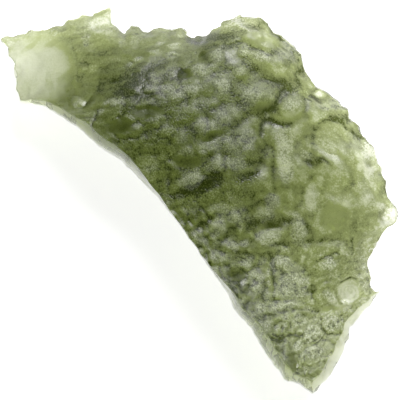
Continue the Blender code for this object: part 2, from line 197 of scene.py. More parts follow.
# Creases of the top face: points, half width and depth
CREASES = (
    (((28.8, 9.1), (28.3, 9.6), (27.9, 10.1), (27.6, 10.7)), 0.2, 0.45),
    (((26.2, 13.5), (26.2, 12.6), (26.6, 12.1), (27.2, 12.05), (27.8, 12.3), (28.4, 12.55),
      (29.0, 12.4)), 0.28, 0.6),
    (((26.2, 13.8), (26.6, 14.4), (27.1, 14.8)), 0.14, 0.2),
    (((27.35, 14.7), (27.3, 16.5), (27.4, 19.2)), 0.15, 0.35),
    (((31.3, 14.3), (31.2, 13.5), (31.5, 12.8), (32.0, 12.2), (32.6, 11.95), (33.3, 12.0),
      (33.9, 12.1), (34.3, 12.5), (34.6, 13.0)), 0.13, 0.35),
    (((32.6, 11.7), (33.1, 11.55), (33.6, 11.8)), 0.12, 0.25),
    (((35.1, 13.1), (35.6, 13.4), (36.0, 13.9)), 0.18, 0.35),
    (((30.2, 20.5), (30.2, 19.5), (30.4, 18.5), (31.0, 17.8), (31.8, 17.3), (32.7, 17.6)), 0.16, 0.3),
    (((32.6, 18.0), (32.3, 18.6), (32.2, 19.2)), 0.12, 0.25),
    (((30.2, 21.1), (30.8, 21.5), (31.4, 21.6)), 0.1, 0.2),
    (((28.0, 18.6), (29.2, 18.7), (30.1, 18.8)), 0.12, 0.22),
    (((28.5, 21.8), (29.1, 21.85), (29.7, 21.9)), 0.11, 0.3),
    (((27.0, 24.5), (27.8, 24.5), (28.5, 24.4)), 0.14, 0.28),
    (((31.7, 25.9), (32.3, 25.6), (33.0, 25.3), (33.7, 25.05), (33.95, 25.2)), 0.17, 0.3),
    (((35.2, 23.7), (35.3, 24.5), (35.3, 25.3)), 0.14, 0.25),
    (((34.0, 28.1), (34.5, 27.75), (35.1, 27.65), (35.7, 27.8)), 0.13, 0.3),
    (((33.6, 29.1), (33.8, 29.7), (34.2, 30.3)), 0.13, 0.25),
    (((27.3, 25.6), (27.4, 28.0), (27.5, 30.0)), 0.2, 0.34),
    (((26.6, 33.4), (28.0, 33.7), (29.0, 33.3), (30.0, 33.3)), 0.16, 0.3),
    (((32.2, 31.5), (32.1, 32.5), (32.7, 33.3), (34.0, 33.4)), 0.12, 0.28),
    (((28.0, 31.0), (29.0, 30.9), (30.0, 30.8), (31.8, 31.0)), 0.13, 0.25),
    (((27.0, 29.95), (28.0, 29.95), (29.3, 30.0)), 0.1, 0.2),
    (((17.2, 16.8), (17.1, 18.0), (17.0, 18.8)), 0.13, 0.35), (((20.9, 11.8), (20.9, 13.1)), 0.1, 0.3),
    (((22.5, 15.2), (22.5, 17.0)), 0.12, 0.3),
    (((24.5, 20.7), (25.5, 20.4), (26.3, 19.9), (27.1, 19.5)), 0.14, 0.25),
    (((25.1, 19.8), (25.9, 19.1), (26.4, 18.8)), 0.12, 0.25),
    (((25.0, 5.0), (25.8, 5.1), (26.8, 5.55), (27.5, 5.3)), 0.15, 0.35),
    (((24.7, 2.5), (25.3, 2.75), (25.8, 3.1)), 0.12, 0.3),
    (((7.3, 4.4), (7.7, 5.4), (8.0, 7.0), (7.9, 8.2)), 0.1, 0.14),
    (((8.5, 11.0), (9.3, 9.8), (10.1, 9.0)), 0.1, 0.12),
    (((9.6, 12.6), (9.9, 11.8), (10.2, 11.2)), 0.14, 0.28),
    (((31.6, 16.0), (32.2, 15.8), (32.6, 16.2), (33.0, 16.5)), 0.18, 0.3),
    (((30.7, 16.0), (31.0, 15.6), (31.3, 15.1)), 0.12, 0.3),
)
# Broad tones of the glass: centre, half length and half width, turn, and how much paler or deeper
# Some of these tones are painted shade that dims slopes catching the lamp, and some are painted light on thin
# windows
TONE_PATCHES_WITH_PAINTED_LIGHT = (
    ((3.4, 6.8), (4.2, 5.0), 14, 0.15), ((6.9, 9.0), (1.2, 2.4), 0, -0.12),
    ((5.6, 4.2), (1.6, 0.35), 25, -0.12), ((3.2, 4.6), (1.4, 0.3), 40, -0.1),
    ((5.2, 8.4), (0.5, 1.6), 10, -0.08), ((9.3, 8.0), (0.8, 2.0), 0, 0.22),
    ((12.0, 8.0), (4.2, 2.0), 10, -0.26), ((10.4, 2.4), (1.6, 1.1), 10, 0.2),
    ((24.8, 2.4), (1.6, 0.8), -20, 0.3), ((31.8, 9.4), (0.6, 0.5), 0, 0.7),
    ((33.4, 13.4), (1.6, 1.5), 0, -0.04), ((14.6, 9.6), (2.7, 2.8), 3, -0.2),
    ((12.2, 12.7), (1.7, 0.9), 10, -0.14), ((38.8, 21.4), (1.1, 0.9), 0, 0.5),
    ((37.2, 15.4), (0.7, 1.0), 30, 0.5), ((37.0, 17.3), (0.6, 0.8), 0, 0.35),
    ((28.4, 15.3), (1.1, 3.0), 0, 0.36), ((31.2, 19.6), (1.1, 1.9), -12, 0.22),
    ((15.2, 17.0), (1.4, 1.8), 0, 0.26), ((21.7, 16.9), (1.4, 0.8), 10, -0.1),
    ((17.9, 7.6), (1.5, 1.0), 0, -0.18), ((19.8, 4.0), (1.6, 0.6), 5, -0.35),
    ((36.8, 18.6), (1.6, 3.2), 0, 0.16), ((19.8, 18.8), (3.2, 0.8), 20, -0.45),
    ((24.8, 17.7), (1.7, 0.6), 22, -0.2), ((34.6, 18.0), (4.6, 12.0), 0, 0.03),
    ((37.2, 25.6), (1.6, 2.6), 0, 0.16), ((31.8, 29.4), (3.0, 4.6), -20, 0.06),
    ((28.8, 28.0), (1.9, 2.3), 0, -0.04), ((23.8, 28.2), (1.6, 2.6), 35, -0.12),
    ((25.3, 30.9), (1.0, 1.6), 35, -0.16), ((28.4, 35.2), (1.6, 2.8), 35, -0.16),
    ((27.6, 4.0), (4.6, 2.4), -35, -0.2), ((27.6, 9.8), (3.8, 2.2), 8, -0.22),
    ((24.4, 14.6), (2.8, 2.4), 0, -0.1), ((31.2, 35.6), (3.4, 2.4), 40, -0.02),
    ((9.0, 7.0), (2.6, 3.2), 20, -0.08), ((20.6, 21.9), (2.2, 1.2), 35, 0.04),
    ((22.6, 20.0), (2.4, 0.9), 10, 0.16), ((17.0, 21.0), (0.5, 1.0), 30, 0.25),
    ((28.2, 19.0), (0.9, 1.2), 0, 0.14), ((20.6, 3.6), (2.6, 0.6), 0, -0.3),
    ((22.2, 5.0), (2.8, 2.6), 0, -0.18), ((33.2, 10.8), (2.8, 1.5), -35, -0.3),
    ((30.4, 7.4), (1.3, 2.6), 30, -0.14), ((15.9, 7.0), (1.6, 1.6), 0, -0.14),
    ((22.0, 11.2), (1.4, 0.8), 0, -0.14), ((25.4, 27.4), (1.0, 1.4), 0, -0.1),
    ((38.2, 18.8), (0.7, 1.0), 0, -0.2), ((24.6, 28.2), (2.2, 1.6), 40, 0.04),
    ((14.2, 15.6), (1.4, 1.6), 0, 0.06),
)
# Clear stretches of the rim: centre, half length and half width, turn
RIM_WINDOWS = (
    ((10.3, 2.0), (1.6, 1.2), 10), ((25.0, 2.2), (1.7, 1.1), -25), ((28.6, 4.3), (0.8, 0.6), -40),
    ((37.4, 15.6), (1.1, 1.9), -30), ((38.9, 21.5), (1.4, 1.2), 0), ((37.0, 25.4), (0.9, 1.4), 0),
    ((13.6, 2.9), (0.6, 0.5), 0), ((17.0, 3.2), (1.0, 0.5), 0), ((31.8, 9.3), (1.2, 1.0), 0),
)
# Fine ripples: centre, spacing, reach and strength
RINGS = (
    ((35.0, 29.1), 0.38, 1.5, 0.045), ((31.3, 33.3), 0.42, 1.6, 0.08), ((33.2, 32.2), 0.44, 1.2, 0.05),
    ((29.4, 28.6), 0.46, 1.7, 0.07), ((31.0, 35.2), 0.4, 1.3, 0.07), ((25.9, 28.3), 0.4, 1.0, 0.06),
    ((31.2, 19.6), 0.42, 1.3, 0.05), ((28.4, 14.6), 0.5, 1.5, 0.06), ((33.2, 13.9), 0.45, 1.7, 0.03),
    ((28.2, 26.2), 0.4, 1.1, 0.06), ((27.8, 32.6), 0.4, 1.1, 0.06),
)
# Smooth patches of the skin, where the etching is fine: centre, half length and half width, turn
SMOOTH = (
    ((26.4, 10.7), (1.3, 0.6), 0), ((29.3, 11.6), (1.5, 0.5), 0), ((33.5, 21.6), (1.7, 1.7), 20),
    ((33.3, 15.5), (1.4, 0.5), 0), ((14.8, 11.4), (2.0, 0.8), 3), ((12.2, 12.7), (1.5, 0.85), 10),
    ((21.3, 13.75), (1.4, 0.55), 28), ((19.4, 8.2), (1.0, 0.4), 5), ((18.3, 7.4), (1.0, 0.6), 0),
    ((23.3, 5.7), (1.0, 1.0), 0), ((27.2, 22.5), (1.6, 0.5), 0), ((33.2, 30.7), (1.2, 0.5), 0),
    ((23.8, 27.3), (1.1, 0.6), 0), ((9.3, 10.25), (1.4, 0.5), 50), ((6.6, 9.2), (2.0, 2.0), 0),
    ((4.2, 6.8), (4.0, 4.2), 0), ((18.9, 16.2), (1.7, 0.7), 0), ((35.0, 29.0), (1.4, 1.4), 0),
    ((26.3, 4.0), (1.9, 1.0), -12), ((29.2, 36.0), (0.6, 1.1), 0), ((20.3, 5.7), (0.7, 0.7), 0),
)
# Frosted patches, where the etching is coarse
FROSTED = (
    ((25.1, 9.7), (1.3, 0.9), 20), ((28.8, 10.6), (0.7, 0.6), 0), ((15.3, 9.1), (0.8, 0.5), 0),
    ((16.8, 9.1), (1.0, 0.6), 0), ((18.6, 9.3), (1.2, 0.8), 0), ((20.4, 12.6), (1.4, 0.9), 0),
    ((22.4, 11.9), (1.0, 0.8), 0), ((21.8, 16.3), (0.7, 1.0), 0), ((20.1, 7.1), (0.9, 0.9), 0),
    ((22.3, 8.7), (0.9, 1.0), 0), ((29.8, 22.9), (0.9, 1.7), 0), ((26.5, 21.3), (1.1, 0.8), 0),
    ((26.8, 23.6), (1.4, 0.9), 0), ((28.2, 26.3), (1.3, 1.0), 0), ((21.8, 22.6), (1.1, 1.0), 0),
    ((23.4, 24.5), (0.6, 0.5), 0), ((23.4, 21.5), (0.7, 0.8), 0), ((26.3, 32.5), (0.7, 0.6), 0),
    ((25.8, 28.1), (0.8, 1.4), 0), ((29.4, 28.5), (1.6, 1.4), 0), ((28.5, 14.0), (1.0, 1.4), 0),
    ((31.2, 35.0), (1.2, 0.7), 12), ((8.8, 3.9), (0.4, 0.9), 0), ((19.2, 18.1), (1.5, 0.8), 20),
    ((24.8, 13.7), (0.9, 0.9), 0), ((12.0, 10.4), (0.8, 0.3), 10), ((30.6, 15.4), (0.6, 0.5), 0),
    ((36.8, 14.8), (0.8, 1.2), 0), ((28.4, 30.4), (1.5, 0.6), 0), ((28.6, 16.2), (0.9, 2.4), 0),
    ((29.0, 28.2), (1.4, 1.4), 0), ((27.2, 20.2), (0.8, 1.2), 0), ((31.2, 33.2), (1.0, 0.9), 0),
    ((33.2, 32.2), (1.0, 0.9), 0), ((31.0, 35.0), (1.0, 0.7), 15),
)
# Hazy patches, with a thin even frost
HAZE = (
    ((3.2, 6.8), (4.5, 4.8), 8), ((9.6, 2.6), (2.6, 1.0), 14), ((26.0, 2.6), (2.4, 1.0), -25),
    ((37.3, 17.0), (1.0, 3.6), -18), ((36.4, 27.4), (1.0, 2.0), 0), ((29.2, 28.2), (1.9, 2.5), 0),
    ((25.7, 28.0), (0.9, 1.6), 0), ((26.4, 32.4), (0.9, 0.8), 0), ((31.6, 32.8), (2.4, 1.5), 0),
    ((31.0, 35.0), (1.3, 0.8), 15), ((28.4, 30.6), (2.2, 0.8), 0), ((29.0, 14.6), (1.4, 1.6), 0),
    ((31.2, 19.6), (0.8, 1.4), 0),
)
# Plain patches, where few crowns are frosted
PLAIN = (
    ((14.6, 13.9), (3.8, 2.9), 0), ((11.6, 8.4), (3.0, 2.4), 10), ((20.8, 19.3), (3.6, 1.6), 15),
    ((15.0, 4.6), (3.4, 1.8), 5), ((26.9, 22.3), (1.9, 0.7), 5), ((24.4, 27.0), (1.5, 1.0), 0),
    ((17.2, 7.2), (3.4, 1.5), 10), ((24.9, 17.6), (1.9, 0.8), 20),
)
# Where a patch starts and where it is full, on its own dome
PATCH_LIMITS = (0.0, 0.5)

# Random values on a lattice: its size, how much finer each layer is, and each layer's shift
LATTICE = 128
LAYER_STEP = 2.03
LAYER_SHIFT = (17.3, 5.1)
# Warps of plan places: how far, over what length, both in millimetres, and the seed
SKIN_WARP = (0.30, 1.3, 5)
FLOW_WARP = (0.35, 2.2, 5)
PATCH_WARP = (0.16, 0.55, 25)
WIDE_FEATURE_WARP = (0.12, 0.9, 15)
FINE_FEATURE_WARP = (0.05, 0.35, 16)
TONE_WARP = (0.25, 1.6, 95)
RING_WARP = (0.22, 1.0, 97)
LINE_WARP = (0.2, 0.9)
UNDER_WARP = (0.3, 2.0, 71)
# Noise layers of each warp, and how much its seed is raised for the way down
WARP_LAYERS = 2
SECOND_SEED = 7

# Limits in millimetres, across or down the drawing, between which each kind of skin comes in or thins out
FIBRES_DOWN = (8.5, 5.5)
FIBRES_ACROSS = (24.0, 20.0)
LEFT_FIBRES_ACROSS = (13.5, 9.5)
CELLS_DOWN = (18.5, 22.5)
CELLS_THIN_ACROSS = (30.0, 33.0)
CELLS_THINNING = 0.5
KNOBS_ACROSS = (23.5, 27.0)
KNOBS_THIN_DOWN = (22.5, 26.0)
KNOBS_THINNING = 0.7

# Scattered domes: length and width in millimetres, and the seed
FIBRES = (2.3, 0.55, 11)
LUMPS = (1.55, 1.10, 19)
CELLS = (0.95, 0.85, 23)
KNOBS = (2.6, 2.4, 37)
SMALL_KNOBS = (1.1, 1.0, 47)
SPECKLES = (0.50, 0.46, 43)
GRAIN_DOMES = (0.34, 0.32, 61)
UNDER_PITS = (2.4, 1.9, 73)
UNDER_DENTS = (0.9, 0.8, 79)
# Least jitter of a dome in its lattice cell and the range of it, then the same for its height
DOME_PLACE = (0.1, 0.8)
DOME_RISE = (0.6, 0.5)
# Usual height of a dome, taken off so that smooth patches lie level with the rest
USUAL_DOME = 0.5
# Turns of the flow: of the domes drawn out along it, and of its streaks
DOME_TURN = 14
STREAK_TURN = 13

# Values by kind of skin: everywhere, and more on the fibres, in the middle, on the cells, on the knobs.
# Each set of domes has whether it follows the flow, its heights in millimetres and its creases' openness.
# The creases' openness sets how much painted shade falls in them
DOME_SETS = (
    (FIBRES, True, (0, 0.05, 0.08, 0, 0), (0, 0.14, 0.2, 0, 0)),
    (LUMPS, True, (0, 0, 0.24, 0.16, 0), (0, 0, 0.5, 0.35, 0)),
    (CELLS, False, (0, 0, 0, 0.22, 0), (0, 0, 0, 0.5, 0)),
    (KNOBS, False, (0, 0, 0, 0, 0.50), (0, 0, 0, 0, 0.32)),
    (SMALL_KNOBS, False, (0, 0, 0, 0, 0.12), (0, 0, 0, 0, 0.22)),
    (SPECKLES, False, (0.04, 0, 0, 0.05, 0), (0.25, 0, 0, 0.15, 0)),
)
# Width of the creases between the domes, in the domes' own heights
CREASE_GAP = 0.22
GRAIN_BY_KIND = (0, 0.22, 0.42, 0.30, 0.24)
WRINKLES_BY_KIND = (0.09, -0.06, 0, 0.19, 0.03)
FLOW_BY_KIND = (0.07, 0.08, 0, 0, 0)
BROAD_BY_KIND = (0.05, 0, 0, 0.05, 0)

# Noises: length and width in millimetres, layers and seed
LOOSE_REGIONS = (2.6, 2.0, 2, 57)
BROAD_TONES = (3.4, 2.2, 4, 93)
RIM_STRETCHES = (1.3, 1.3, 3, 121)
BAND_SPECKS = (0.34, 0.34, 2, 161)
STREAKS = (1.8, 0.36, 2, 51)
FLOW_TONES = (3.2, 0.42, 3, 87)
# Uneven values: level and spread, then their noise in the same terms
RAGGED = (0.9, 0.4, 0.6, 0.5, 3, 59)
CLOUDS = (0.8, 0.5, 1.5, 1.5, 3, 151)
GRAIN_PATCHES = (1, 0.35, 1.9, 1.3, 2, 141)
BAND_WIDTH = (0.20, 0.10, 0.7, 0.7, 2, 131)
# Curled lines: size in millimetres, width in the noise's own range, and the seed
PALE_LINES = (0.9, 0.14, 171)
DARK_LINES = (0.7, 0.15, 181)
# Their noise layers, and how much its seed is raised over their warp's
LINE_LAYERS = 2
LINE_SEED = 3
# Share of its reach at which a ripple starts to fade
RING_FADE = 0.6

# Frosted crowns of drawn mounds: shift in millimetres, where they start and are full on the mound's dome,
# and the half length times half width up to which one is at full strength
CROWN_SHIFT = (0.12, 0.10)
CROWN_LIMITS = (0.25, 0.8)
CROWN_AREA = 0.9
# Loose crowns of scattered mounds: shift on the cells, where they start and are full, the same for their
# regions, how much more of them the cells have, and their strength
LOOSE_SHIFT = 0.1
LOOSE_LIMITS = (0.60, 1.0)
LOOSE_REGION_LIMITS = (-0.1, 0.5)
LOOSE_ON_CELLS = 0.4
LOOSE_FROST = 0.6
# What crowns lose on plain patches, in hollows and on smooth patches
PLAIN_LOSS = 0.95
DULL_LIMITS = (0.1, 0.5)
SMOOTH_FROST_LOSS = 0.9

# Etching from 0 to 1: its level, what calm places lose, what crowns and haze add
ETCHED_LEVEL = 0.20
ETCHED_CALM = 0.07
ETCHED_CROWN = 0.8
ETCHED_HAZE = 0.42
ETCHED_HOLLOW_LIMITS = (0.05, 0.35)
ETCHED_UNDERSIDE = 0.4
# What the finest grain and the wrinkles gain on crowns and lose on smooth patches
GRAIN_CROWN = 0.35
GRAIN_SMOOTH_LOSS = 0.75
WRINKLES_CROWN = 0.08
WRINKLES_SMOOTH_LOSS = 0.85

# Relief: where drawn features are full, how much they and smooth patches calm the scattered skin
COVER_LIMITS = (0.0, 0.12)
COVER_CALM = 0.65
SMOOTH_CALM = 0.85
# Height in millimetres of the ripples and wrinkles
LINE_RELIEF = 0.25
# Underside's pits: rise of the wide and the small ones, and what is taken off, in millimetres
UNDER_PIT_RISE = 0.45
UNDER_DENT_RISE = 0.10
UNDER_LEVEL = 0.18

# Mesh: how crowded its cells are at the ends, and powers that fade the teeth away from each edge
CROWDING = 0.5
JAG_SIZE = 0.7
JAG_LAYERS = 2
JAG_SEEDS = (101, 111)
RIM_JAG_POWER = 9
LEFT_JAG_POWER = 30
BREAK_JAG_POWER = 16
TIP_JAG_POWER = 40
JAG_FREE_ACROSS = 0.2
BREAK_JAG = 0.4

# Broken walls: how late they lean in, the scoop and the ripple across it, all lengths in millimetres
WALL_CURVE = 2.8
WALL_SMOOTHING = 3
SCOOP_LENGTH = 7.0
SCOOP_HEIGHT = 5.0
SCOOP_SHIFT = 3.0
SCOOP_LAYERS = 2
SCOOP_SEED = 91
SCOOP_DEPTH = 0.16
RIPPLE_REPEAT = 14.0
RIPPLE_STRETCH = 1.3
RIPPLE_START = 2.0
RIPPLE_SPACING = 1.5
RIPPLE_DEPTH = 0.02
FULL_WALL = 4.0

# Tone from 0 to 1 of the top face: its level, and what fine and wide relief adds, with its limits
# This tone is painted shade in the creases and painted light on the crests
TONE_LEVEL = 0.44
FINE_ROUNDS = 3
WIDE_ROUNDS = 14
FINE_RISE = (2.2, -0.25, 0.2)
WIDE_RISE = (1.0, -0.18, 0.15)
# What the drawn features add to it: limits between which each comes in, and how much
# Mound tops and pits get painted light, hollows and creases painted shade
MOUND_TOP_PAINTED_LIGHT = 0.04
TOP_LIMITS = (0.1, 0.7)
PIT_PAINTED_LIGHT = 0.22
PIT_LIMITS = (0.0, 0.35)
HOLLOW_PAINTED_SHADE = -0.32
HOLLOW_LIMITS = (0.0, 0.6)
CREASE_PAINTED_SHADE = -0.44
CREASE_WIDTH_SHARE = 0.8
FULL_CREASE = 0.35
MOUND_LIMITS = (0.0, 0.06)
SMOOTH_CREASE_LOSS = 0.85
MOUND_CREASE_LOSS = 0.7
SMOOTH_BROAD = 0.07
TONE_LIMITS = (0.0, 0.75)
# Rim's edge: its tone, how much paler or darker it is away from the break, and where its stretches are dark
# The dark stretches of the rim are painted shade
RIM_TONE = 0.56
RIM_PALER = 0.18
RIM_PAINTED_SHADE = 0.50
RIM_SIDE_SHIFT = 4.5
RIM_SIDE_LIMITS = (0.5, 2.0)
RIM_STRETCH_LIMITS = (-0.5, 0.3)
# Band inside the rim: its specks, its thin line, where it comes in along the stone, and its tone
# The band and its thin line are painted shade
SPECK_LIMITS = (0.1, 0.6)
SPECK_SHARE = 0.8
SPECK_REACH = 0.9
LINE_SHARE = 0.8
LINE_WIDTH = 0.09
BAND_ALONG = (0.10, 0.25)
BAND_PAINTED_SHADE = -0.40
# Walls: level and spread of their tone, what the top of a wall adds, and the noise's sizes in metres
WALL_TONE = 0.70
WALL_SPREAD = 0.25
WALL_TOP_TONE = 0.40
WALL_NOISE_PLAN = 0.0011
WALL_NOISE_RISE = 0.0007
WALL_NOISE_LAYERS = 2
WALL_SEED = 133

# Glass: mottling of its roughness, the plain skin's etching, where the coat comes in with etching,
# the range of the grain, and the share of the shine that the least shiny grain has
MOTTLE_SCALE = 1500.0
MOTTLE_DETAIL = 2.0
MOTTLE_RANGE = (0.3, 0.7, -0.08, 0.08)
PLAIN_ETCHING = 0.2
COATED_ETCHING = (0.22, 0.85, 0.0, 1.0)
GRAIN_RANGE = (-0.25, 0.25)
LEAST_SHINE = 0.4
# Scale and detail of the fine noise in the grain, and the tone at which the glass has its level colour
FINE_SCALE = 2
FINE_DETAIL = 1
LEVEL_PLACE = 0.5

# Stage: level and roughness of the table, where the lamp looks, the height of direction at which the room
# is darkest, the camera's sensor in millimetres and its nearest and farthest places, and the light's bounces
TABLE_LEVEL = -0.01 * MM
TABLE_ROUGHNESS = 0.9
LAMP_TARGET = (0, 0, 0.004)
ROOM_RISE = 0.3
SENSOR_WIDTH = 36.0
NEAREST = 0.001
FARTHEST = 100.0
BOUNCES = 24
GLOSSY_BOUNCES = 12


def span_at(knots, where):
    """Index of the knot before each place, the span to the next knot and the share of it covered."""
    left = np.clip(np.searchsorted(knots, where, side="right") - 1, 0, len(knots) - 2)
    span = knots[left + 1] - knots[left]
    return left, span, (where - knots[left]) / span


def cubic_between(start, end, start_slope, end_slope, share):
    """Cubic curve from start to end, by share of the way, with its slopes given per whole way."""
    blend = share * share * (3 - 2 * share)
    leaving = start_slope * share * (1 - share) ** 2
    arriving = end_slope * (share - 1) * share ** 2
    return start * (1 - blend) + end * blend + leaving + arriving


def smooth_through(knots, values, where):
    """Cubic curve through values given at the knots, its slopes taken across each knot's neighbours."""
    knots = np.asarray(knots, float)
    values = np.asarray(values, float)
    slopes = np.gradient(values, knots)
    left, span, share = span_at(knots, where)
    return cubic_between(values[left], values[left + 1], slopes[left] * span, slopes[left + 1] * span, share)


def edge_point(points, share):
    """Point on a plan edge at a share of its length, on straight runs between the drawn points."""
    points = np.asarray(points, float)
    steps = np.linalg.norm(np.diff(points, axis=0), axis=1)
    run = np.concatenate(([0.0], np.cumsum(steps))) / steps.sum()
    return np.stack([np.interp(share, run, points[:, axis]) for axis in (0, 1)], axis=-1)


def evened_rim(share):
    """Mean of the rim's points round a share, over a reach that shrinks to nothing at its ends."""
    reach = np.minimum(EVENED_REACH, np.minimum(share, 1 - share))
    return np.mean([edge_point(RIM_EDGE, share + step * reach) for step in EVENED_STEPS], axis=0)


def plan_point(along, across):
    """Coons patch: the sum of the ruled surfaces between opposite edges, less the one through the corners.

    The rim is evened out for the inside, and its teeth come in with a high power of the share across.
    """
    s = along[..., None]
    t = across[..., None]
    rim_along = smooth_through(BREAK_SHARES, RIM_SHARES, along)
    even = evened_rim(rim_along)
    rim = even + (edge_point(RIM_EDGE, rim_along) - even) * t ** TEETH_POWER
    between_sides = (1 - t) * edge_point(BREAK_EDGE, along) + t * rim
    between_ends = (1 - s) * edge_point(LEFT_END, across) + s * edge_point(TIP_EDGE, across)
    left_corners = (1 - t) * np.array(BREAK_EDGE[0]) + t * np.array(RIM_EDGE[0])
    right_corners = (1 - t) * np.array(BREAK_EDGE[-1]) + t * np.array(RIM_EDGE[-1])
    return between_sides + between_ends - (1 - s) * left_corners - s * right_corners


def thickness(along, across):
    """Thickness from the table: a curve across each row, then a curve along through the rows."""
    shares = np.asarray(THICKNESS_ALONG, float)
    rows = np.stack([smooth_through(THICKNESS_ACROSS, row, across) for row in THICKNESS])
    slopes = np.gradient(rows, shares, axis=0)
    left, span, share = span_at(shares, along)
    pick = (left, *np.indices(along.shape))
    pick_next = (left + 1, *np.indices(along.shape))
    return cubic_between(rows[pick], rows[pick_next], slopes[pick] * span, slopes[pick_next] * span, share)


def smooth_step(low, high, value):
    """0 at low, 1 at high, a smooth blend between them, and held outside them."""
    share = np.clip((value - low) / (high - low), 0, 1)
    return share * share * (3 - 2 * share)


def bell(distance, width):
    """Bell curve: e to the power of less the square of the distance over the width."""
    return np.exp(-(distance / width) ** 2)


def lattice_noise(a, b, seed):
    """Smooth noise from -1 to 1: random values on whole numbers, blended by a quintic of the remainders."""
    values = np.random.default_rng(seed).uniform(-1, 1, (LATTICE, LATTICE))
    a_cell = np.floor(a).astype(int)
    b_cell = np.floor(b).astype(int)
    a_part = a - a_cell
    b_part = b - b_cell
    a_ease = a_part ** 3 * (a_part * (a_part * 6 - 15) + 10)
    b_ease = b_part ** 3 * (b_part * (b_part * 6 - 15) + 10)
    a_next = (a_cell + 1) % LATTICE
    b_next = (b_cell + 1) % LATTICE
    a_cell = a_cell % LATTICE
    b_cell = b_cell % LATTICE
    near = values[a_cell, b_cell] * (1 - a_ease) + values[a_next, b_cell] * a_ease
    far = values[a_cell, b_next] * (1 - a_ease) + values[a_next, b_next] * a_ease
    return near * (1 - b_ease) + far * b_ease


def layered_noise(a, b, layers, seed):
    """Sum of noise layers, each half as strong and about twice as fine as the one before."""
    total = np.zeros(np.shape(a))
    for layer in range(layers):
        scale = LAYER_STEP ** layer
        a_place = a * scale + LAYER_SHIFT[0] * layer
        b_place = b * scale + LAYER_SHIFT[1] * layer
        total += lattice_noise(a_place, b_place, seed + layer) / 2 ** layer
    return total


def plan_noise(plan, length, width, layers, seed):
    """Layered noise whose widest lumps are about a length across the plan and a width down it."""
    return layered_noise(plan[..., 0] / length, plan[..., 1] / width, layers, seed)


def uneven(plan, level, spread, *noise):
    """A level plus a spread times layered noise."""
    return level + spread * plan_noise(plan, *noise)


def warped(plan, reach, size, seed):
    """Places moved a little at random, so that no drawn outline stays a true ellipse or straight line."""
    across = plan_noise(plan, size, size, WARP_LAYERS, seed)
    down = plan_noise(plan, size, size, WARP_LAYERS, seed + SECOND_SEED)
    return plan + reach * np.stack((across, down), axis=-1)


def feature_places(plan):
    """Places as the drawn mounds, pits, hollows and creases see them, warped widely and then finely."""
    return warped(warped(plan, *WIDE_FEATURE_WARP), *FINE_FEATURE_WARP)


def turned_offset(plan, centre, turn):
    """Offsets from a centre along and across a direction turned anticlockwise as seen from above."""
    angle = np.radians(turn)
    right = plan[..., 0] - centre[0]
    down = plan[..., 1] - centre[1]
    return right * np.cos(angle) - down * np.sin(angle), right * np.sin(angle) + down * np.cos(angle)


def mound(plan, centre, half_sizes, turn, height, fullness):
    """One mound: height times 1 less r to the power of its fullness, r being 1 on the mound's ellipse."""
    length_way, width_way = turned_offset(plan, centre, turn)
    radius = np.sqrt((length_way / half_sizes[0]) ** 2 + (width_way / half_sizes[1]) ** 2)
    return height * (1 - radius ** fullness)


def highest_mounds(plan, mounds):
    """The highest of many mounds at each place, and 0 between them."""
    total = np.zeros(plan.shape[:-1])
    for given in mounds:
        total = np.maximum(total, mound(plan, *given))
    return total


def domed(plan, centre, half_sizes, turn):
    """1 less r squared inside an ellipse, r being 1 on it, and 0 outside."""
    return np.clip(mound(plan, centre, half_sizes, turn, 1, 2), 0, None)


def patch_cover(plan, patches):
    """How much a place is covered by any of some patches: 1 inside, fading out across their edges."""
    cover = np.zeros(plan.shape[:-1])
    for patch in patches:
        cover = np.maximum(cover, domed(plan, *patch))
    return smooth_step(*PATCH_LIMITS, cover)


def soft_hollows(plan):
    """The deepest of the hollows with soft edges, each its depth times the square of 1 less r squared."""
    total = np.zeros(plan.shape[:-1])
    for *patch, depth in HOLLOWS:
        total = np.maximum(total, depth * domed(plan, *patch) ** 2)
    return total


def crease_depth(plan, points, half_width, depth):
    """Groove along a line of points: its depth times a bell of the distance to the nearest run."""
    nearest = np.full(plan.shape[:-1], np.inf)
    for start, end in zip(np.asarray(points[:-1], float), np.asarray(points[1:], float)):
        run = end - start
        share = np.clip(((plan - start) @ run) / (run @ run), 0, 1)
        nearest = np.minimum(nearest, np.linalg.norm(plan - start - share[..., None] * run, axis=-1))
    return depth * bell(nearest, half_width)


def scattered_domes(plan, length, width, seed):
    """Domes on a jittered lattice: the highest of the nine nearest, each a height less the squared distance.

    The second result is how far the highest stands over the next one, which is 0 in the crease between them.
    """
    a = plan[..., 0] / length
    b = plan[..., 1] / width
    shift_a, shift_b, rise = np.random.default_rng(seed).uniform(0, 1, (3, LATTICE, LATTICE))
    a_cell = np.floor(a).astype(int)
    b_cell = np.floor(b).astype(int)
    highest = np.zeros(np.shape(a))
    second = np.zeros(np.shape(a))
    for a_step in (-1, 0, 1):
        for b_step in (-1, 0, 1):
            pick = ((a_cell + a_step) % LATTICE, (b_cell + b_step) % LATTICE)
            a_way = a_cell + a_step + DOME_PLACE[0] + DOME_PLACE[1] * shift_a[pick] - a
            b_way = b_cell + b_step + DOME_PLACE[0] + DOME_PLACE[1] * shift_b[pick] - b
            dome = DOME_RISE[0] + DOME_RISE[1] * rise[pick] - a_way ** 2 - b_way ** 2
            second = np.maximum(second, np.minimum(highest, dome))
            highest = np.maximum(highest, dome)
    return highest, highest - second


def along_flow(plan, shift, turn):
    """Places less a shift, given by their offsets along and across the flow."""
    return np.stack(turned_offset(plan, shift, turn), axis=-1)


def flow_noise(plan, length, width, layers, seed):
    """Layered noise drawn out along the glass's flow, which runs up to the right."""
    flow = along_flow(warped(plan, *FLOW_WARP), (0, 0), STREAK_TURN)
    return plan_noise(flow, length, width, layers, seed)


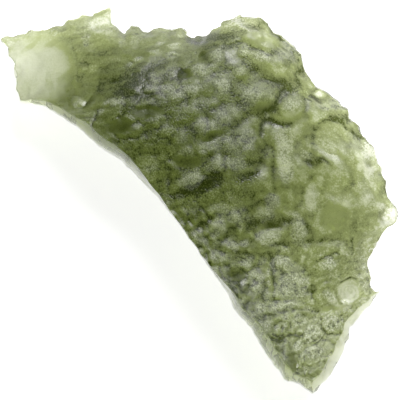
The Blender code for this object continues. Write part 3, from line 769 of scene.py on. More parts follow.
def skin_kinds(plan):
    """Shares of the kinds of skin: flow fibres at the upper left, the middle, cells low down, knobs right."""
    x = plan[..., 0]
    y = plan[..., 1]
    fibres = smooth_step(*FIBRES_DOWN, y) * smooth_step(*FIBRES_ACROSS, x)
    fibres = np.clip(fibres + smooth_step(*LEFT_FIBRES_ACROSS, x), 0, 1)
    knobs = smooth_step(*KNOBS_ACROSS, x) * (1 - KNOBS_THINNING * smooth_step(*KNOBS_THIN_DOWN, y))
    cells = smooth_step(*CELLS_DOWN, y) * (1 - CELLS_THINNING * smooth_step(*CELLS_THIN_ACROSS, x))
    cells = cells * (1 - knobs)
    middle = np.clip(1 - fibres - cells - knobs, 0, 1)
    return fibres, middle, cells, knobs


def by_kind(kinds, values):
    """The value everywhere, plus each kind of skin's share times its own value."""
    return values[0] + sum(share * value for share, value in zip(kinds, values[1:]))


def scattered_skin(plan):
    """Etched skin away from the drawn features: its relief in millimetres and how open its creases are, which
    sets their painted shade.
    """
    free = warped(plan, *SKIN_WARP)
    flow = along_flow(free, (0, 0), DOME_TURN)
    kinds = skin_kinds(plan)
    relief = np.zeros(plan.shape[:-1])
    open_crease = np.zeros(plan.shape[:-1])
    for domes_given, follows_flow, heights, openness in DOME_SETS:
        domes, gap = scattered_domes(flow if follows_flow else free, *domes_given)
        relief += (domes - USUAL_DOME) * by_kind(kinds, heights)
        open_crease = np.maximum(open_crease, by_kind(kinds, openness) * bell(gap, CREASE_GAP))
    return relief, open_crease


def drawn_crowns(plan):
    """Tops of the drawn mounds: 1 on them, 0 on their flanks, and weaker on the largest ones."""
    tops = np.zeros(plan.shape[:-1])
    for centre, half_sizes, turn, _, _ in MOUNDS:
        top = smooth_step(*CROWN_LIMITS, domed(plan + CROWN_SHIFT, centre, half_sizes, turn))
        tops = np.maximum(tops, min(1.0, CROWN_AREA / (half_sizes[0] * half_sizes[1])) * top)
    return tops


def loose_crowns(plan):
    """Tops of some of the scattered mounds, in regions of their own."""
    fibres, _, cells, knobs = skin_kinds(plan)
    free = warped(plan, *SKIN_WARP)
    lump_tops, _ = scattered_domes(along_flow(free, CROWN_SHIFT, DOME_TURN), *LUMPS)
    cell_tops, _ = scattered_domes(free + LOOSE_SHIFT, *CELLS)
    tops = smooth_step(*LOOSE_LIMITS, lump_tops) * (1 - knobs) * (1 - fibres)
    tops = np.maximum(tops, smooth_step(*LOOSE_LIMITS, cell_tops) * cells)
    here = smooth_step(*LOOSE_REGION_LIMITS, plan_noise(plan, *LOOSE_REGIONS) + LOOSE_ON_CELLS * cells)
    return tops * here


def crown_cover(plan):
    """Frosted crowns: 1 on the tops of the drawn and of some scattered mounds, 0 on their flanks."""
    drawn = warped(plan, *PATCH_WARP)
    loose = loose_crowns(plan) * (1 - PLAIN_LOSS * patch_cover(drawn, PLAIN))
    frosted = np.maximum(patch_cover(drawn, FROSTED), np.maximum(drawn_crowns(drawn), LOOSE_FROST * loose))
    bright = 1 - smooth_step(*DULL_LIMITS, soft_hollows(drawn))
    rough = 1 - SMOOTH_FROST_LOSS * patch_cover(drawn, SMOOTH)
    return np.clip(frosted * uneven(plan, *RAGGED) * bright * rough, 0, 1)


def etching(plan):
    """Roughness of the skin from 0 to 1: least in hollows and smooth patches, most on the frosted crowns."""
    drawn = warped(plan, *PATCH_WARP)
    hollows = smooth_step(*ETCHED_HOLLOW_LIMITS, soft_hollows(drawn))
    calm = np.maximum(hollows, patch_cover(drawn, SMOOTH))
    haze = ETCHED_HAZE * patch_cover(drawn, HAZE) * uneven(plan, *CLOUDS)
    return ETCHED_LEVEL - ETCHED_CALM * calm + np.maximum(ETCHED_CROWN * crown_cover(plan), haze)


def grain_share(plan):
    """Strength of the finest grain from 0 to 1: most in the middle and on the crowns, faint where smooth."""
    smooth = patch_cover(warped(plan, *PATCH_WARP), SMOOTH)
    share = by_kind(skin_kinds(plan), GRAIN_BY_KIND) * uneven(plan, *GRAIN_PATCHES)
    return np.clip(share * (1 - GRAIN_SMOOTH_LOSS * smooth) + GRAIN_CROWN * crown_cover(plan), 0, 1)


def rings(plan):
    """Fine ripples round a few centres: a cosine of the distance, fading out at each one's reach."""
    total = np.zeros(plan.shape[:-1])
    free = warped(plan, *RING_WARP)
    for centre, spacing, reach, strength in RINGS:
        away = np.linalg.norm(free - centre, axis=-1)
        total += strength * np.cos(2 * np.pi * away / spacing) * smooth_step(reach, RING_FADE * reach, away)
    return total


def curled_lines(plan, size, width, seed):
    """Thin curled lines where layered noise passes 0: a bell of the noise over the lines' width."""
    free = warped(plan, *LINE_WARP, seed)
    return bell(plan_noise(free, size, size, LINE_LAYERS, seed + LINE_SEED), width)


def wrinkles(plan):
    """Fine pale and dark curled wrinkles of the skin, strongest low down, faint on smooth patches."""
    smooth = patch_cover(warped(plan, *PATCH_WARP), SMOOTH)
    strength = by_kind(skin_kinds(plan), WRINKLES_BY_KIND) + WRINKLES_CROWN * crown_cover(plan)
    lines = curled_lines(plan, *PALE_LINES) - curled_lines(plan, *DARK_LINES)
    return strength * lines * (1 - WRINKLES_SMOOTH_LOSS * smooth)


def skin_relief(plan, shape):
    """Relief of the top face: scattered and drawn mounds, hollows, creases, flow streaks and grain."""
    drawn = feature_places(plan)
    mounds = highest_mounds(drawn, MOUNDS)
    pits = highest_mounds(drawn, PITS)
    cover = np.maximum(smooth_step(*COVER_LIMITS, mounds), smooth_step(*COVER_LIMITS, pits))
    calm = np.maximum(COVER_CALM * cover, SMOOTH_CALM * patch_cover(drawn, SMOOTH))
    scattered, _ = scattered_skin(plan)
    relief = scattered * (1 - calm) + mounds * shape.mound_height
    relief = relief - pits * shape.pit_depth - soft_hollows(drawn) * shape.hollow_depth
    for points, half_width, depth in CREASES:
        relief = relief - crease_depth(drawn, points, half_width, depth * shape.crease_depth)
    relief = relief + LINE_RELIEF * (rings(plan) + wrinkles(plan))
    relief = relief + flow_noise(plan, *STREAKS) * shape.streak_depth * (1 - calm)
    grain, _ = scattered_domes(plan, *GRAIN_DOMES)
    return (relief + grain * shape.grain_depth * crown_cover(plan)) * shape.relief


def bowl_height(plan):
    """Rise of the underside with the squares of the distances from the resting spot, below 0 on the spot."""
    length_way, width_way = turned_offset(plan, REST_CENTRE, -BOWL_TURN)
    return BOWL_RISE_ALONG * length_way ** 2 + BOWL_RISE_ACROSS * width_way ** 2 - REST_DEPTH


def underside_height(plan, shape):
    """Underside: a shallow bowl with pits pressed up into it, never below the table."""
    free = warped(plan, *UNDER_WARP)
    pits, _ = scattered_domes(free, *UNDER_PITS)
    dents, _ = scattered_domes(free, *UNDER_DENTS)
    bowl = np.clip(bowl_height(plan), 0, None)
    pressed = (UNDER_PIT_RISE * pits + UNDER_DENT_RISE * dents) * shape.under_relief
    return bowl + np.clip(pressed - UNDER_LEVEL, 0, None)


def crowded_shares(cells):
    """Shares from 0 to 1, closer together towards both ends."""
    even = np.linspace(0, 1, cells + 1)
    return even - CROWDING / (2 * np.pi) * np.sin(2 * np.pi * even)


def serrated(plan, along, across, reach):
    """Plan places with the edges jagged a little at random, most at the rim and the left end, none inside."""
    near_rim = np.maximum(across ** RIM_JAG_POWER, (1 - along) ** LEFT_JAG_POWER)
    near_rim = near_rim * smooth_step(0, JAG_FREE_ACROSS, across)
    near_break = np.maximum((1 - across) ** BREAK_JAG_POWER, along ** TIP_JAG_POWER)
    jag = np.stack([plan_noise(plan, JAG_SIZE, JAG_SIZE, JAG_LAYERS, seed) for seed in JAG_SEEDS], axis=-1)
    return plan + reach * jag * (near_rim + BREAK_JAG * near_break)[..., None]


def leaned_shares(along, across):
    """Shares of the top face's vertices, drawn in from the edges by the lean of the broken walls."""
    ones = np.ones_like(along)
    zeros = np.zeros_like(along)
    far_side = np.linalg.norm(plan_point(along, ones) - plan_point(along, zeros), axis=-1)
    far_end = np.linalg.norm(plan_point(ones, across) - plan_point(zeros, across), axis=-1)
    break_lean = smooth_through(LEAN_STATIONS, BREAK_LEAN, along) / far_side
    rim_lean = RIM_LEAN / far_side
    tip_lean = np.interp(across, TIP_LEAN_STATIONS, TIP_LEAN) / far_end
    left_lean = RIM_LEAN / far_end
    return (left_lean + along * (1 - left_lean - tip_lean),
            break_lean + across * (1 - break_lean - rim_lean))


def softened(heights):
    """Grid with each value half its own and a quarter of each neighbour's, along and then across."""
    for axis in (0, 1):
        padded = np.concatenate((heights.take([0], axis), heights, heights.take([-1], axis)), axis)
        count = heights.shape[axis]
        before = padded.take(range(count), axis)
        after = padded.take(range(2, count + 2), axis)
        heights = 0.5 * heights + 0.25 * (before + after)
    return heights


def softened_often(heights, rounds):
    """Grid of heights softened a number of times over."""
    for _ in range(rounds):
        heights = softened(heights)
    return heights


def held_rise(rise, strength, lowest, highest):
    """A rise times its strength, held between two limits."""
    return np.clip(strength * rise, lowest, highest)


def painted_relief_light_and_shade(heights):
    """Tone of a grid by how its places stand to their surroundings: painted shade in creases, painted light
    on crests.
    """
    near = softened_often(heights, FINE_ROUNDS)
    around = softened_often(near, WIDE_ROUNDS)
    return TONE_LEVEL + held_rise(heights - near, *FINE_RISE) + held_rise(near - around, *WIDE_RISE)


def painted_crease_shade(plan, drawn, smooth):
    """How much painted shade the creases get, from 0 to 1: the scattered skin's open ones and the drawn ones.
    """
    mounds = smooth_step(*MOUND_LIMITS, highest_mounds(drawn, MOUNDS))
    _, open_crease = scattered_skin(plan)
    creases = open_crease * (1 - np.maximum(SMOOTH_CREASE_LOSS * smooth, MOUND_CREASE_LOSS * mounds))
    for points, half_width, depth in CREASES:
        drawn_crease = crease_depth(drawn, points, CREASE_WIDTH_SHARE * half_width, depth / FULL_CREASE)
        creases = np.maximum(creases, drawn_crease)
    return np.clip(creases, 0, 1)


def drawn_tone(plan):
    """Tone added by the skin: painted light on mound tops and in pits, painted shade in hollows and creases,
    with fine lines, flow, broad noise and the broad tones of the glass, some of them painted light and shade
    too.
    """
    drawn = feature_places(plan)
    smooth = patch_cover(drawn, SMOOTH)
    kinds = skin_kinds(plan)
    tops = highest_mounds(drawn, [(*given[:3], 1, 2) for given in MOUNDS])
    tone = MOUND_TOP_PAINTED_LIGHT * smooth_step(*TOP_LIMITS, tops)
    tone = tone + PIT_PAINTED_LIGHT * smooth_step(*PIT_LIMITS, highest_mounds(drawn, PITS))
    tone = tone + HOLLOW_PAINTED_SHADE * smooth_step(*HOLLOW_LIMITS, soft_hollows(drawn))
    tone = tone + CREASE_PAINTED_SHADE * painted_crease_shade(plan, drawn, smooth) + rings(plan) + wrinkles(plan)
    tone = tone + flow_noise(plan, *FLOW_TONES) * by_kind(kinds, FLOW_BY_KIND) * (1 - smooth)
    tone = tone + plan_noise(plan, *BROAD_TONES) * (by_kind(kinds, BROAD_BY_KIND) + SMOOTH_BROAD * smooth)
    free = warped(plan, *TONE_WARP)
    for *patch, level in TONE_PATCHES_WITH_PAINTED_LIGHT:
        tone = tone + level * smooth_step(*TONE_LIMITS, domed(free, *patch))
    return tone


def rim_painted_shade_patches(plan):
    """Where the rim gets painted shade and where it is clear, from 0 to 1, in stretches of a millimetre or
    two.
    """
    dark = smooth_step(*RIM_STRETCH_LIMITS, plan_noise(plan, *RIM_STRETCHES))
    return dark * (1 - patch_cover(plan, RIM_WINDOWS))


def rim_tone_with_painted_shade(places):
    """Tone of the edges: pale, with painted shade in patches along the rim, standing in for the light that
    its teeth scatter.
    """
    from_break = smooth_step(*RIM_SIDE_LIMITS, places[:, 0] - places[:, 1] + RIM_SIDE_SHIFT)
    return RIM_TONE + (RIM_PALER - RIM_PAINTED_SHADE * rim_painted_shade_patches(places)) * from_break


def rim_painted_shade_band(plan, along, across):
    """Band of painted shade inside the rim, with specks in it, in the rim's patches, and a thin line of
    painted shade along it.
    """
    away = np.linalg.norm(plan - plan_point(along, np.ones_like(along)), axis=-1)
    specks = smooth_step(*SPECK_LIMITS, plan_noise(plan, *BAND_SPECKS))
    band = np.maximum(bell(away, uneven(plan, *BAND_WIDTH)), SPECK_SHARE * specks * bell(away, SPECK_REACH))
    dark = np.maximum(band * rim_painted_shade_patches(plan), LINE_SHARE * bell(away, LINE_WIDTH))
    return dark * smooth_step(*BAND_ALONG, along)


def face_grids(shape):
    """Underside and top face as grids of places in drawing millimetres, and how dark the rim's band of
    painted shade is.
    """
    along, across = np.meshgrid(crowded_shares(shape.cells_along), crowded_shares(shape.cells_across))
    plan_under = serrated(plan_point(along, across), along, across, shape.rim_jag)
    under = np.concatenate((plan_under, underside_height(plan_under, shape)[..., None]), axis=-1)
    along, across = leaned_shares(along, across)
    plan_top = serrated(plan_point(along, across), along, across, shape.rim_jag)
    bowl = np.clip(bowl_height(plan_top), 0, None)
    rise = bowl + thickness(along, across) + softened(skin_relief(plan_top, shape))
    floor = underside_height(plan_top, shape) + THINNEST
    top = np.concatenate((plan_top, np.maximum(rise, floor)[..., None]), axis=-1)
    return under, top, rim_painted_shade_band(plan_top, along, across)


def ring_of(rows, columns):
    """Indices of a grid's border, once round: along the break, up the tip edge, back along the rim."""
    index = np.arange(rows * columns).reshape(rows, columns)
    return np.concatenate((index[0, :-1], index[:-1, -1], index[-1, :0:-1], index[:0:-1, 0]))


def outward_ways(ring):
    """Unit directions out of a closed ring of places, square to its smoothed course."""
    ahead = np.roll(ring, -WALL_SMOOTHING, axis=0) - np.roll(ring, WALL_SMOOTHING, axis=0)
    outward = np.stack((-ahead[:, 1], ahead[:, 0]), axis=1)
    return outward / np.linalg.norm(outward, axis=1, keepdims=True)


def wall_push(run, height):
    """Scoop and ripple of a broken wall, by the run along it and the height up it, in millimetres."""
    scoop = layered_noise(run / SCOOP_LENGTH, height / SCOOP_HEIGHT + SCOOP_SHIFT, SCOOP_LAYERS, SCOOP_SEED)
    sideways = run % RIPPLE_REPEAT - RIPPLE_REPEAT / 2
    away = np.hypot(sideways, height * RIPPLE_STRETCH + RIPPLE_START)
    return SCOOP_DEPTH * scoop + RIPPLE_DEPTH * np.sin(2 * np.pi * (away / RIPPLE_SPACING))


def wall_rows(lower, upper, rows):
    """Broken wall between two rings: steep at first, leaning in near the top, scooped and rippled."""
    run = np.cumsum(np.linalg.norm(np.diff(lower, axis=0, append=lower[:1])[:, :2], axis=1))
    outward = outward_ways(lower)
    tall = np.linalg.norm(upper - lower, axis=1)
    made = []
    for row in range(1, rows):
        share = row / rows
        leaned = share ** WALL_CURVE
        place = lower * (1 - share) + upper * share
        place[:, :2] = lower[:, :2] * (1 - leaned) + upper[:, :2] * leaned
        fade = np.sin(np.pi * share) * np.clip(tall / FULL_WALL, 0, 1)
        place[:, :2] += outward * (fade * wall_push(run, share * tall))[:, None]
        made.append(place)
    return np.concatenate(made)


def stone_faces(rows, columns, ring, walls):
    """Quads of the two face grids and of the wall between their borders, all pointing outwards."""
    index = np.arange(rows * columns).reshape(rows, columns)
    corner = index[:-1, :-1]
    after = index[:-1, 1:]
    across = index[1:, :-1]
    opposite = index[1:, 1:]
    under = np.stack((corner, across, opposite, after), axis=-1).reshape(-1, 4)
    top = np.stack((corner, after, opposite, across), axis=-1).reshape(-1, 4) + rows * columns
    between = np.arange((walls - 1) * len(ring)).reshape(walls - 1, len(ring)) + 2 * rows * columns
    levels = np.concatenate((ring[None], between, ring[None] + rows * columns))
    onward = np.roll(levels, -1, axis=1)
    wall = np.stack((levels[:-1], onward[:-1], onward[1:], levels[1:]), axis=-1).reshape(-1, 4)
    return np.concatenate((under, top, wall))


def keep_rims_sharp(mesh, on_rim):
    """Mark the edges that join two rim vertices as sharp, so that the skin and the breaks stay apart."""
    ends = np.empty(2 * len(mesh.edges), np.int32)
    mesh.edges.foreach_get("vertices", ends)
    ends = ends.reshape(-1, 2)
    mesh.edges.foreach_set("use_edge_sharp", on_rim[ends[:, 0]] & on_rim[ends[:, 1]])


def noise_node(nodes, links, place, scale, detail):
    """Noise texture on object coordinates, its scale in repeats a metre."""
    noise = nodes.new("ShaderNodeTexNoise")
    noise.inputs["Scale"].default_value = scale
    noise.inputs["Detail"].default_value = detail
    links.new(place.outputs["Object"], noise.inputs["Vector"])
    return noise


def stretched(nodes, links, value, low, high, to_low, to_high):
    """A value spread from one range onto another, held at its ends."""
    spread = nodes.new("ShaderNodeMapRange")
    spread.inputs["From Min"].default_value = low
    spread.inputs["From Max"].default_value = high
    spread.inputs["To Min"].default_value = to_low
    spread.inputs["To Max"].default_value = to_high
    links.new(value, spread.inputs["Value"])
    return spread.outputs["Result"]


def combined(nodes, links, operation, first, second):
    """Two values put together by a math operation."""
    math = nodes.new("ShaderNodeMath")
    math.operation = operation
    links.new(first, math.inputs[0])
    links.new(second, math.inputs[1])
    return math.outputs["Value"]


def ramp_of(nodes, links, value, low, middle_place, middle, high):
    """Colour ramp of a value: low at 0, middle at a place of its own, high at 1."""
    ramp = nodes.new("ShaderNodeValToRGB")
    ramp.color_ramp.elements[0].color = (*low, 1)
    ramp.color_ramp.elements[1].color = (*high, 1)
    ramp.color_ramp.elements.new(middle_place).color = (*middle, 1)
    links.new(value, ramp.inputs["Fac"])
    return ramp.outputs["Color"]


def attribute_value(nodes, name):
    """Value of a mesh attribute."""
    attribute = nodes.new("ShaderNodeAttribute")
    attribute.attribute_name = name
    return attribute.outputs["Fac"]


def glass_volume(material, finish):
    """Green glass: it takes light by the metre, red and blue more than green."""
    nodes = material.node_tree.nodes
    volume = nodes.new("ShaderNodeVolumeAbsorption")
    volume.inputs["Color"].default_value = (*finish.tint, 1)
    volume.inputs["Density"].default_value = finish.density
    material.node_tree.links.new(volume.outputs["Volume"], nodes["Material Output"].inputs["Volume"])


def etched_grain(nodes, links, place, finish):
    """Finest grain of the skin: noise less the distance to the nearest grain, by the share of grain."""
    cells = nodes.new("ShaderNodeTexVoronoi")
    cells.inputs["Scale"].default_value = finish.grain_spacing
    links.new(place.outputs["Object"], cells.inputs["Vector"])
    fine = noise_node(nodes, links, place, finish.grain_spacing * FINE_SCALE, FINE_DETAIL)
    grain = combined(nodes, links, "SUBTRACT", fine.outputs["Fac"], cells.outputs["Distance"])
    return combined(nodes, links, "MULTIPLY", grain, attribute_value(nodes, "grain"))


def roughness_of(nodes, links, place, frost, finish):
    """Roughness by the etching: least on the breaks, plain on the skin, most on frosted crowns, mottled."""
    patches = noise_node(nodes, links, place, MOTTLE_SCALE, MOTTLE_DETAIL)
    mottle = stretched(nodes, links, patches.outputs["Fac"], *MOTTLE_RANGE)
    etched = combined(nodes, links, "ADD", frost, mottle)
    least = 3 * (finish.break_roughness,)
    plain = 3 * (finish.skin_roughness,)
    most = 3 * (finish.frost_roughness,)
    return ramp_of(nodes, links, etched, least, PLAIN_ETCHING, plain, most)


def tone_of(nodes, links, grain, finish):
    """Tint of the light let through: painted shade in creases, painted light on crests, painted shade in the
    grain's own hollows.
    """
    shade = nodes.new("ShaderNodeMath")
    shade.operation = "MULTIPLY_ADD"
    shade.inputs[1].default_value = finish.grain_painted_shade
    links.new(grain, shade.inputs[0])
    # The raised attribute carries the tone: painted shade in creases and along the rim, painted light on
    # crests
    links.new(attribute_value(nodes, "raised"), shade.inputs[2])
    colours = (finish.painted_crease_shade_colour, LEVEL_PLACE, finish.level_colour, finish.clear_and_painted_light_colour)
    return ramp_of(nodes, links, shade.outputs["Value"], *colours)


def glass_material(finish):
    """Clear green glass with an etched skin: rougher and grainier where etched, with painted shade in its
    creases.
    """
    material = bpy.data.materials.new("moldavite_glass")
    material.use_nodes = True
    nodes = material.node_tree.nodes
    links = material.node_tree.links
    shader = nodes["Principled BSDF"]
    shader.inputs["Metallic"].default_value = 0.0
    shader.inputs["IOR"].default_value = finish.ior
    shader.inputs["Transmission Weight"].default_value = 1.0
    shader.inputs["Coat Roughness"].default_value = finish.frost_roughness
    shader.inputs["Coat IOR"].default_value = finish.frost_ior
    glass_volume(material, finish)

    place = nodes.new("ShaderNodeTexCoord")
    frost = attribute_value(nodes, "frost")
    links.new(roughness_of(nodes, links, place, frost, finish), shader.inputs["Roughness"])
    grain = etched_grain(nodes, links, place, finish)
    shines = (LEAST_SHINE * finish.frost_shine, finish.frost_shine)
    sparkle = stretched(nodes, links, grain, *GRAIN_RANGE, *shines)
    frosted = stretched(nodes, links, frost, *COATED_ETCHING)
    links.new(combined(nodes, links, "MULTIPLY", sparkle, frosted), shader.inputs["Coat Weight"])
    bump = nodes.new("ShaderNodeBump")
    bump.inputs["Distance"].default_value = finish.grain_height * MM
    links.new(grain, bump.inputs["Height"])
    links.new(bump.outputs["Normal"], shader.inputs["Normal"])
    links.new(tone_of(nodes, links, grain, finish), shader.inputs["Base Color"])
    return material


def wall_tone(places, rows, columns):
    """Tone of every place as if it were on a wall: uneven, and paler towards the top of the wall."""
    a = places[:, 0] / WALL_NOISE_PLAN
    b = places[:, 1] / WALL_NOISE_PLAN + places[:, 2] / WALL_NOISE_RISE
    tone = WALL_TONE + WALL_SPREAD * layered_noise(a, b, WALL_NOISE_LAYERS, WALL_SEED)
    height_share = np.repeat(np.arange(1, rows) / rows, columns)
    tone[len(places) - len(height_share):] += WALL_TOP_TONE * height_share
    return tone


def place_values(places, under, top, shaded, ring, shape):
    """Etching, grain and tone of every vertex: the underside's, then the top face's, then the walls'."""
    count = len(under)
    on_top = slice(count, 2 * count)
    frost = np.zeros(len(places), np.float32)
    frost[:count] = ETCHED_UNDERSIDE
    frost[on_top] = etching(top[:, :2])
    grain = np.zeros(len(places), np.float32)
    grain[on_top] = grain_share(top[:, :2])
    raised = wall_tone(places, shape.wall_rows, len(ring))
    raised[:count] = 1.0
    # Painted shade in the creases and painted light on the crests, from the relief
    crests = painted_relief_light_and_shade(top[:, 2].reshape(shaded.shape)).ravel()
    raised[on_top] = np.clip(crests + drawn_tone(top[:, :2]) + BAND_PAINTED_SHADE * shaded.ravel(), 0, 1)
    raised[ring] = rim_tone_with_painted_shade(under[ring])
    raised[ring + count] = rim_tone_with_painted_shade(top[ring])
    return {"frost": frost, "raised": raised, "grain": grain}


def make_stone(shape, finish):
    """The whole stone as one closed mesh, in place of the solid."""
    under, top, shaded = face_grids(shape)
    rows, columns = shaded.shape
    ring = ring_of(rows, columns)
    under = under.reshape(-1, 3)
    top = top.reshape(-1, 3)
    walls = wall_rows(under[ring], top[ring], shape.wall_rows)
    places = np.concatenate((under, top, walls)) * (MM, -MM, MM)
    low = places.min(axis=0)
    high = places.max(axis=0)
    places -= ((low[0] + high[0]) / 2, (low[1] + high[1]) / 2, low[2])

    mesh = bpy.data.meshes.new("etched_glass_stone")
    mesh.from_pydata(places, [], stone_faces(rows, columns, ring, shape.wall_rows))
    mesh.validate()
    for name, values in place_values(places, under, top, shaded, ring, shape).items():
        mesh.attributes.new(name, "FLOAT", "POINT").data.foreach_set("value", values)
    mesh.shade_smooth()
    on_rim = np.zeros(len(places), bool)
    on_rim[ring] = True
    on_rim[ring + len(under)] = True
    keep_rims_sharp(mesh, on_rim)
    mesh.materials.append(glass_material(finish))
    stone = bpy.data.objects.new("etched_glass_stone", mesh)
    bpy.context.scene.collection.objects.link(stone)
    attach(stone, "root")
    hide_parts(CAD_NODE)
    return stone


def make_floor(setup):
    """Wide pale table that glows, as a light table does."""
    half = setup.table_half
    corners = [(x * half, y * half, TABLE_LEVEL) for x, y in ((-1, -1), (1, -1), (1, 1), (-1, 1))]
    mesh = bpy.data.meshes.new("light_table")
    mesh.from_pydata(corners, [], [(0, 1, 2, 3)])
    material = bpy.data.materials.new("pale_table")
    material.use_nodes = True
    shader = material.node_tree.nodes["Principled BSDF"]
    shader.inputs["Base Color"].default_value = (*setup.table_colour, 1)
    shader.inputs["Roughness"].default_value = TABLE_ROUGHNESS
    shader.inputs["Emission Color"].default_value = (*setup.table_colour, 1)
    shader.inputs["Emission Strength"].default_value = setup.table_glow
    mesh.materials.append(material)
    floor = bpy.data.objects.new("light_table", mesh)
    bpy.context.scene.collection.objects.link(floor)


def make_lamp(setup):
    """One square soft lamp that faces the stone."""
    data = bpy.data.lights.new("key_lamp", "AREA")
    data.shape = "SQUARE"
    data.size = setup.key_size
    data.energy = setup.key_power
    lamp = bpy.data.objects.new("key_lamp", data)
    bpy.context.scene.collection.objects.link(lamp)
    lamp.location = setup.key_place
    way = Vector(LAMP_TARGET) - Vector(setup.key_place)
    lamp.rotation_euler = way.to_track_quat("-Z", "Y").to_euler()


def make_room(setup):
    """Room light: pale near the horizon and darker overhead."""
    world = bpy.data.worlds.new("studio_room")
    world.use_nodes = True
    nodes = world.node_tree.nodes
    links = world.node_tree.links
    place = nodes.new("ShaderNodeTexCoord")
    parts = nodes.new("ShaderNodeSeparateXYZ")
    links.new(place.outputs["Generated"], parts.inputs["Vector"])
    lights = (setup.horizon_light, setup.overhead_light)
    light = stretched(nodes, links, parts.outputs["Z"], 0, ROOM_RISE, *lights)
    links.new(light, nodes["Background"].inputs["Strength"])
    bpy.context.scene.world = world


def make_camera(setup):
    """Camera straight above the stone, with its picture as wide as the drawing."""
    data = bpy.data.cameras.new("camera")
    data.lens = setup.lens
    data.sensor_width = SENSOR_WIDTH
    data.clip_start = NEAREST
    data.clip_end = FARTHEST
    height = setup.picture_width * setup.lens / SENSOR_WIDTH
    camera = bpy.data.objects.new("camera", data)
    camera.location = (*setup.picture_centre, height + setup.picture_level)
    bpy.context.scene.collection.objects.link(camera)
    bpy.context.scene.camera = camera


class StoneShape(bpy.types.PropertyGroup):
    """Sizes of the stone's relief and of its mesh."""

    cells_along: IntProperty(name="Cells along", description="Mesh cells from end to end", default=320)
    cells_across: IntProperty(
        name="Cells across", description="Mesh cells from the break to the rim", default=128)
    wall_rows: IntProperty(name="Wall rows", description="Mesh rows up the broken wall", default=14)
    relief: FloatProperty(name="Relief", description="Strength of the top face's relief", default=1.4)
    under_relief: FloatProperty(
        name="Underside relief", description="Strength of the underside's pits", default=1.0)
    rim_jag: FloatProperty(
        name="Rim jag", description="Reach of the rim's small teeth, in millimetres", default=0.18)
    mound_height: FloatProperty(name="Mound height", description="Strength of the drawn mounds", default=0.7)
    pit_depth: FloatProperty(name="Pit depth", description="Strength of the drawn pits", default=0.45)
    hollow_depth: FloatProperty(
        name="Hollow depth", description="Strength of the drawn soft hollows", default=0.15)
    crease_depth: FloatProperty(name="Crease depth", description="Strength of the drawn creases", default=0.5)
    streak_depth: FloatProperty(
        name="Streak depth", description="Depth of the flow streaks, in millimetres", default=0.05)
    grain_depth: FloatProperty(
        name="Grain depth", description="Depth of the etched grain, in millimetres", default=0.025)


class GlassFinish(bpy.types.PropertyGroup):
    """Colour and surface of the glass."""

    tint: FloatVectorProperty(
        name="Tint", description="Colour that the glass lets through", subtype="COLOR", size=3,
        default=(0.476, 0.532, 0.195))
    density: FloatProperty(name="Density", description="How much light a metre of glass takes", default=380.0)
    ior: FloatProperty(name="IOR", description="Bending of light in the glass", default=1.49)
    skin_roughness: FloatProperty(
        name="Skin roughness", description="Roughness of the plain etched skin", default=0.42)
    frost_roughness: FloatProperty(
        name="Frost roughness", description="Roughness of the frosted crowns of the mounds", default=0.8)
    frost_ior: FloatProperty(
        name="Frost IOR", description="Strength of the frosted crowns' own reflection", default=3.8)
    frost_shine: FloatProperty(
        name="Frost shine", description="How much more light the frosted crowns throw back", default=0.60)
    break_roughness: FloatProperty(
        name="Break roughness", description="Roughness of the broken walls", default=0.05)
    grain_height: FloatProperty(
        name="Grain height", description="Height of the finest etched grain, in millimetres", default=0.08)
    grain_spacing: FloatProperty(
        name="Grain spacing", description="Grains of the etched skin in a metre", default=5600.0)
    # Painted shade in the finest grain's hollows and painted light on its tops
    grain_painted_shade: FloatProperty(
        name="Grain shade", description="How much the finest grain darkens its own hollows", default=1.4)
    # Colour of the painted shade in the creases
    painted_crease_shade_colour: FloatVectorProperty(
        name="Crease colour", description="Tint of the light that passes through the creases",
        subtype="COLOR", size=3, default=(0.010, 0.015, 0.001))
    level_colour: FloatVectorProperty(
        name="Level colour", description="Tint of the light that passes between crests and creases",
        subtype="COLOR", size=3, default=(0.25, 0.29, 0.10))
    # Pale end of the tone: the underside's plain clear tint, and painted light on crests, mound tops, pits
    # and thin windows
    clear_and_painted_light_colour: FloatVectorProperty(
        name="Crown colour", description="Tint of the light that passes through the crowns",
        subtype="COLOR", size=3, default=(1.0, 1.0, 0.95))


class StageSetup(bpy.types.PropertyGroup):
    """Light table, lamp, room light and camera."""

    table_half: FloatProperty(
        name="Table half width", description="Half width of the light table", default=3.0, unit="LENGTH")
    table_colour: FloatVectorProperty(
        name="Table colour", description="Colour of the light table", subtype="COLOR", size=3,
        default=(0.90, 0.905, 0.89))
    table_glow: FloatProperty(name="Table glow", description="Light from the table", default=1.0)
    key_power: FloatProperty(
        name="Key lamp", description="Power of the soft lamp at the upper right", default=1.35, unit="POWER")
    key_size: FloatProperty(
        name="Key lamp size", description="Width of the soft lamp", default=0.20, unit="LENGTH")
    key_place: FloatVectorProperty(
        name="Key lamp place", description="Where the soft lamp is", size=3, default=(0.104, 0.223, 0.172),
        unit="LENGTH")
    horizon_light: FloatProperty(
        name="Horizon light", description="Brightness of the room near the horizon", default=0.36)
    overhead_light: FloatProperty(
        name="Overhead light", description="Brightness of the room overhead", default=0.12)
    lens: FloatProperty(name="Lens", description="Focal length in millimetres", default=300.0)
    picture_width: FloatProperty(
        name="Picture width", description="Width seen at the stone", default=0.040, unit="LENGTH")
    picture_level: FloatProperty(
        name="Picture level", description="Height at which that width is seen", default=0.0015, unit="LENGTH")
    picture_centre: FloatVectorProperty(
        name="Picture centre", description="Middle of the picture", size=2, default=(0.0, -0.0001),
        unit="LENGTH")


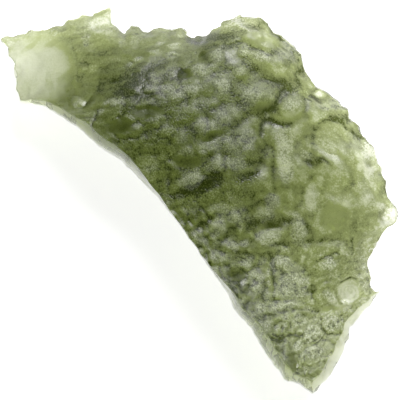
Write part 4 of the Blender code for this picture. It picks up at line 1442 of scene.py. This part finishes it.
class MOLDAVITE_OT_stone(bpy.types.Operator):
    """Make the etched glass stone in place of the solid"""

    bl_idname = "moldavite.stone"
    bl_label = "Make stone"

    def execute(self, context):
        stone = make_stone(context.scene.stone_shape, context.scene.glass_finish)
        if not stone.data.polygons:
            raise RuntimeError("the stone has no faces")
        return {"FINISHED"}


class MOLDAVITE_OT_stage(bpy.types.Operator):
    """Make the light table, the lamp, the room light and the camera"""

    bl_idname = "moldavite.stage"
    bl_label = "Make stage"

    def execute(self, context):
        setup = context.scene.stage_setup
        make_floor(setup)
        make_lamp(setup)
        make_room(setup)
        make_camera(setup)
        context.scene.view_settings.view_transform = "Standard"
        context.scene.cycles.max_bounces = BOUNCES
        context.scene.cycles.transmission_bounces = BOUNCES
        context.scene.cycles.glossy_bounces = GLOSSY_BOUNCES
        return {"FINISHED"}


class MOLDAVITE_PT_panel(bpy.types.Panel):
    """Sidebar panel with the pieces and their values"""

    bl_idname = "MOLDAVITE_PT_panel"
    bl_label = "Moldavite"
    bl_space_type = "VIEW_3D"
    bl_region_type = "UI"
    bl_category = "Moldavite"

    def draw(self, context):
        scene = context.scene
        pieces = {
            "moldavite.stone": (scene.stone_shape, scene.glass_finish),
            "moldavite.stage": (scene.stage_setup,),
        }
        for operator, groups in pieces.items():
            self.layout.operator(operator)
            for group in groups:
                for name in group.__annotations__:
                    self.layout.prop(group, name)


VALUES = {"stone_shape": StoneShape, "glass_finish": GlassFinish, "stage_setup": StageSetup}
CLASSES = (*VALUES.values(), MOLDAVITE_OT_stone, MOLDAVITE_OT_stage, MOLDAVITE_PT_panel)


def register():
    """Register the classes and hang their values on the scene."""
    for cls in CLASSES:
        bpy.utils.register_class(cls)
    for name, group in VALUES.items():
        setattr(bpy.types.Scene, name, PointerProperty(type=group))


def unregister():
    """Take the values off the scene and unregister the classes."""
    for name in VALUES:
        delattr(bpy.types.Scene, name)
    for cls in reversed(CLASSES):
        bpy.utils.unregister_class(cls)


def main():
    """Make every piece in order."""
    register()
    bpy.ops.moldavite.stone()
    bpy.ops.moldavite.stage()


if __name__ == "__main__":
    main()
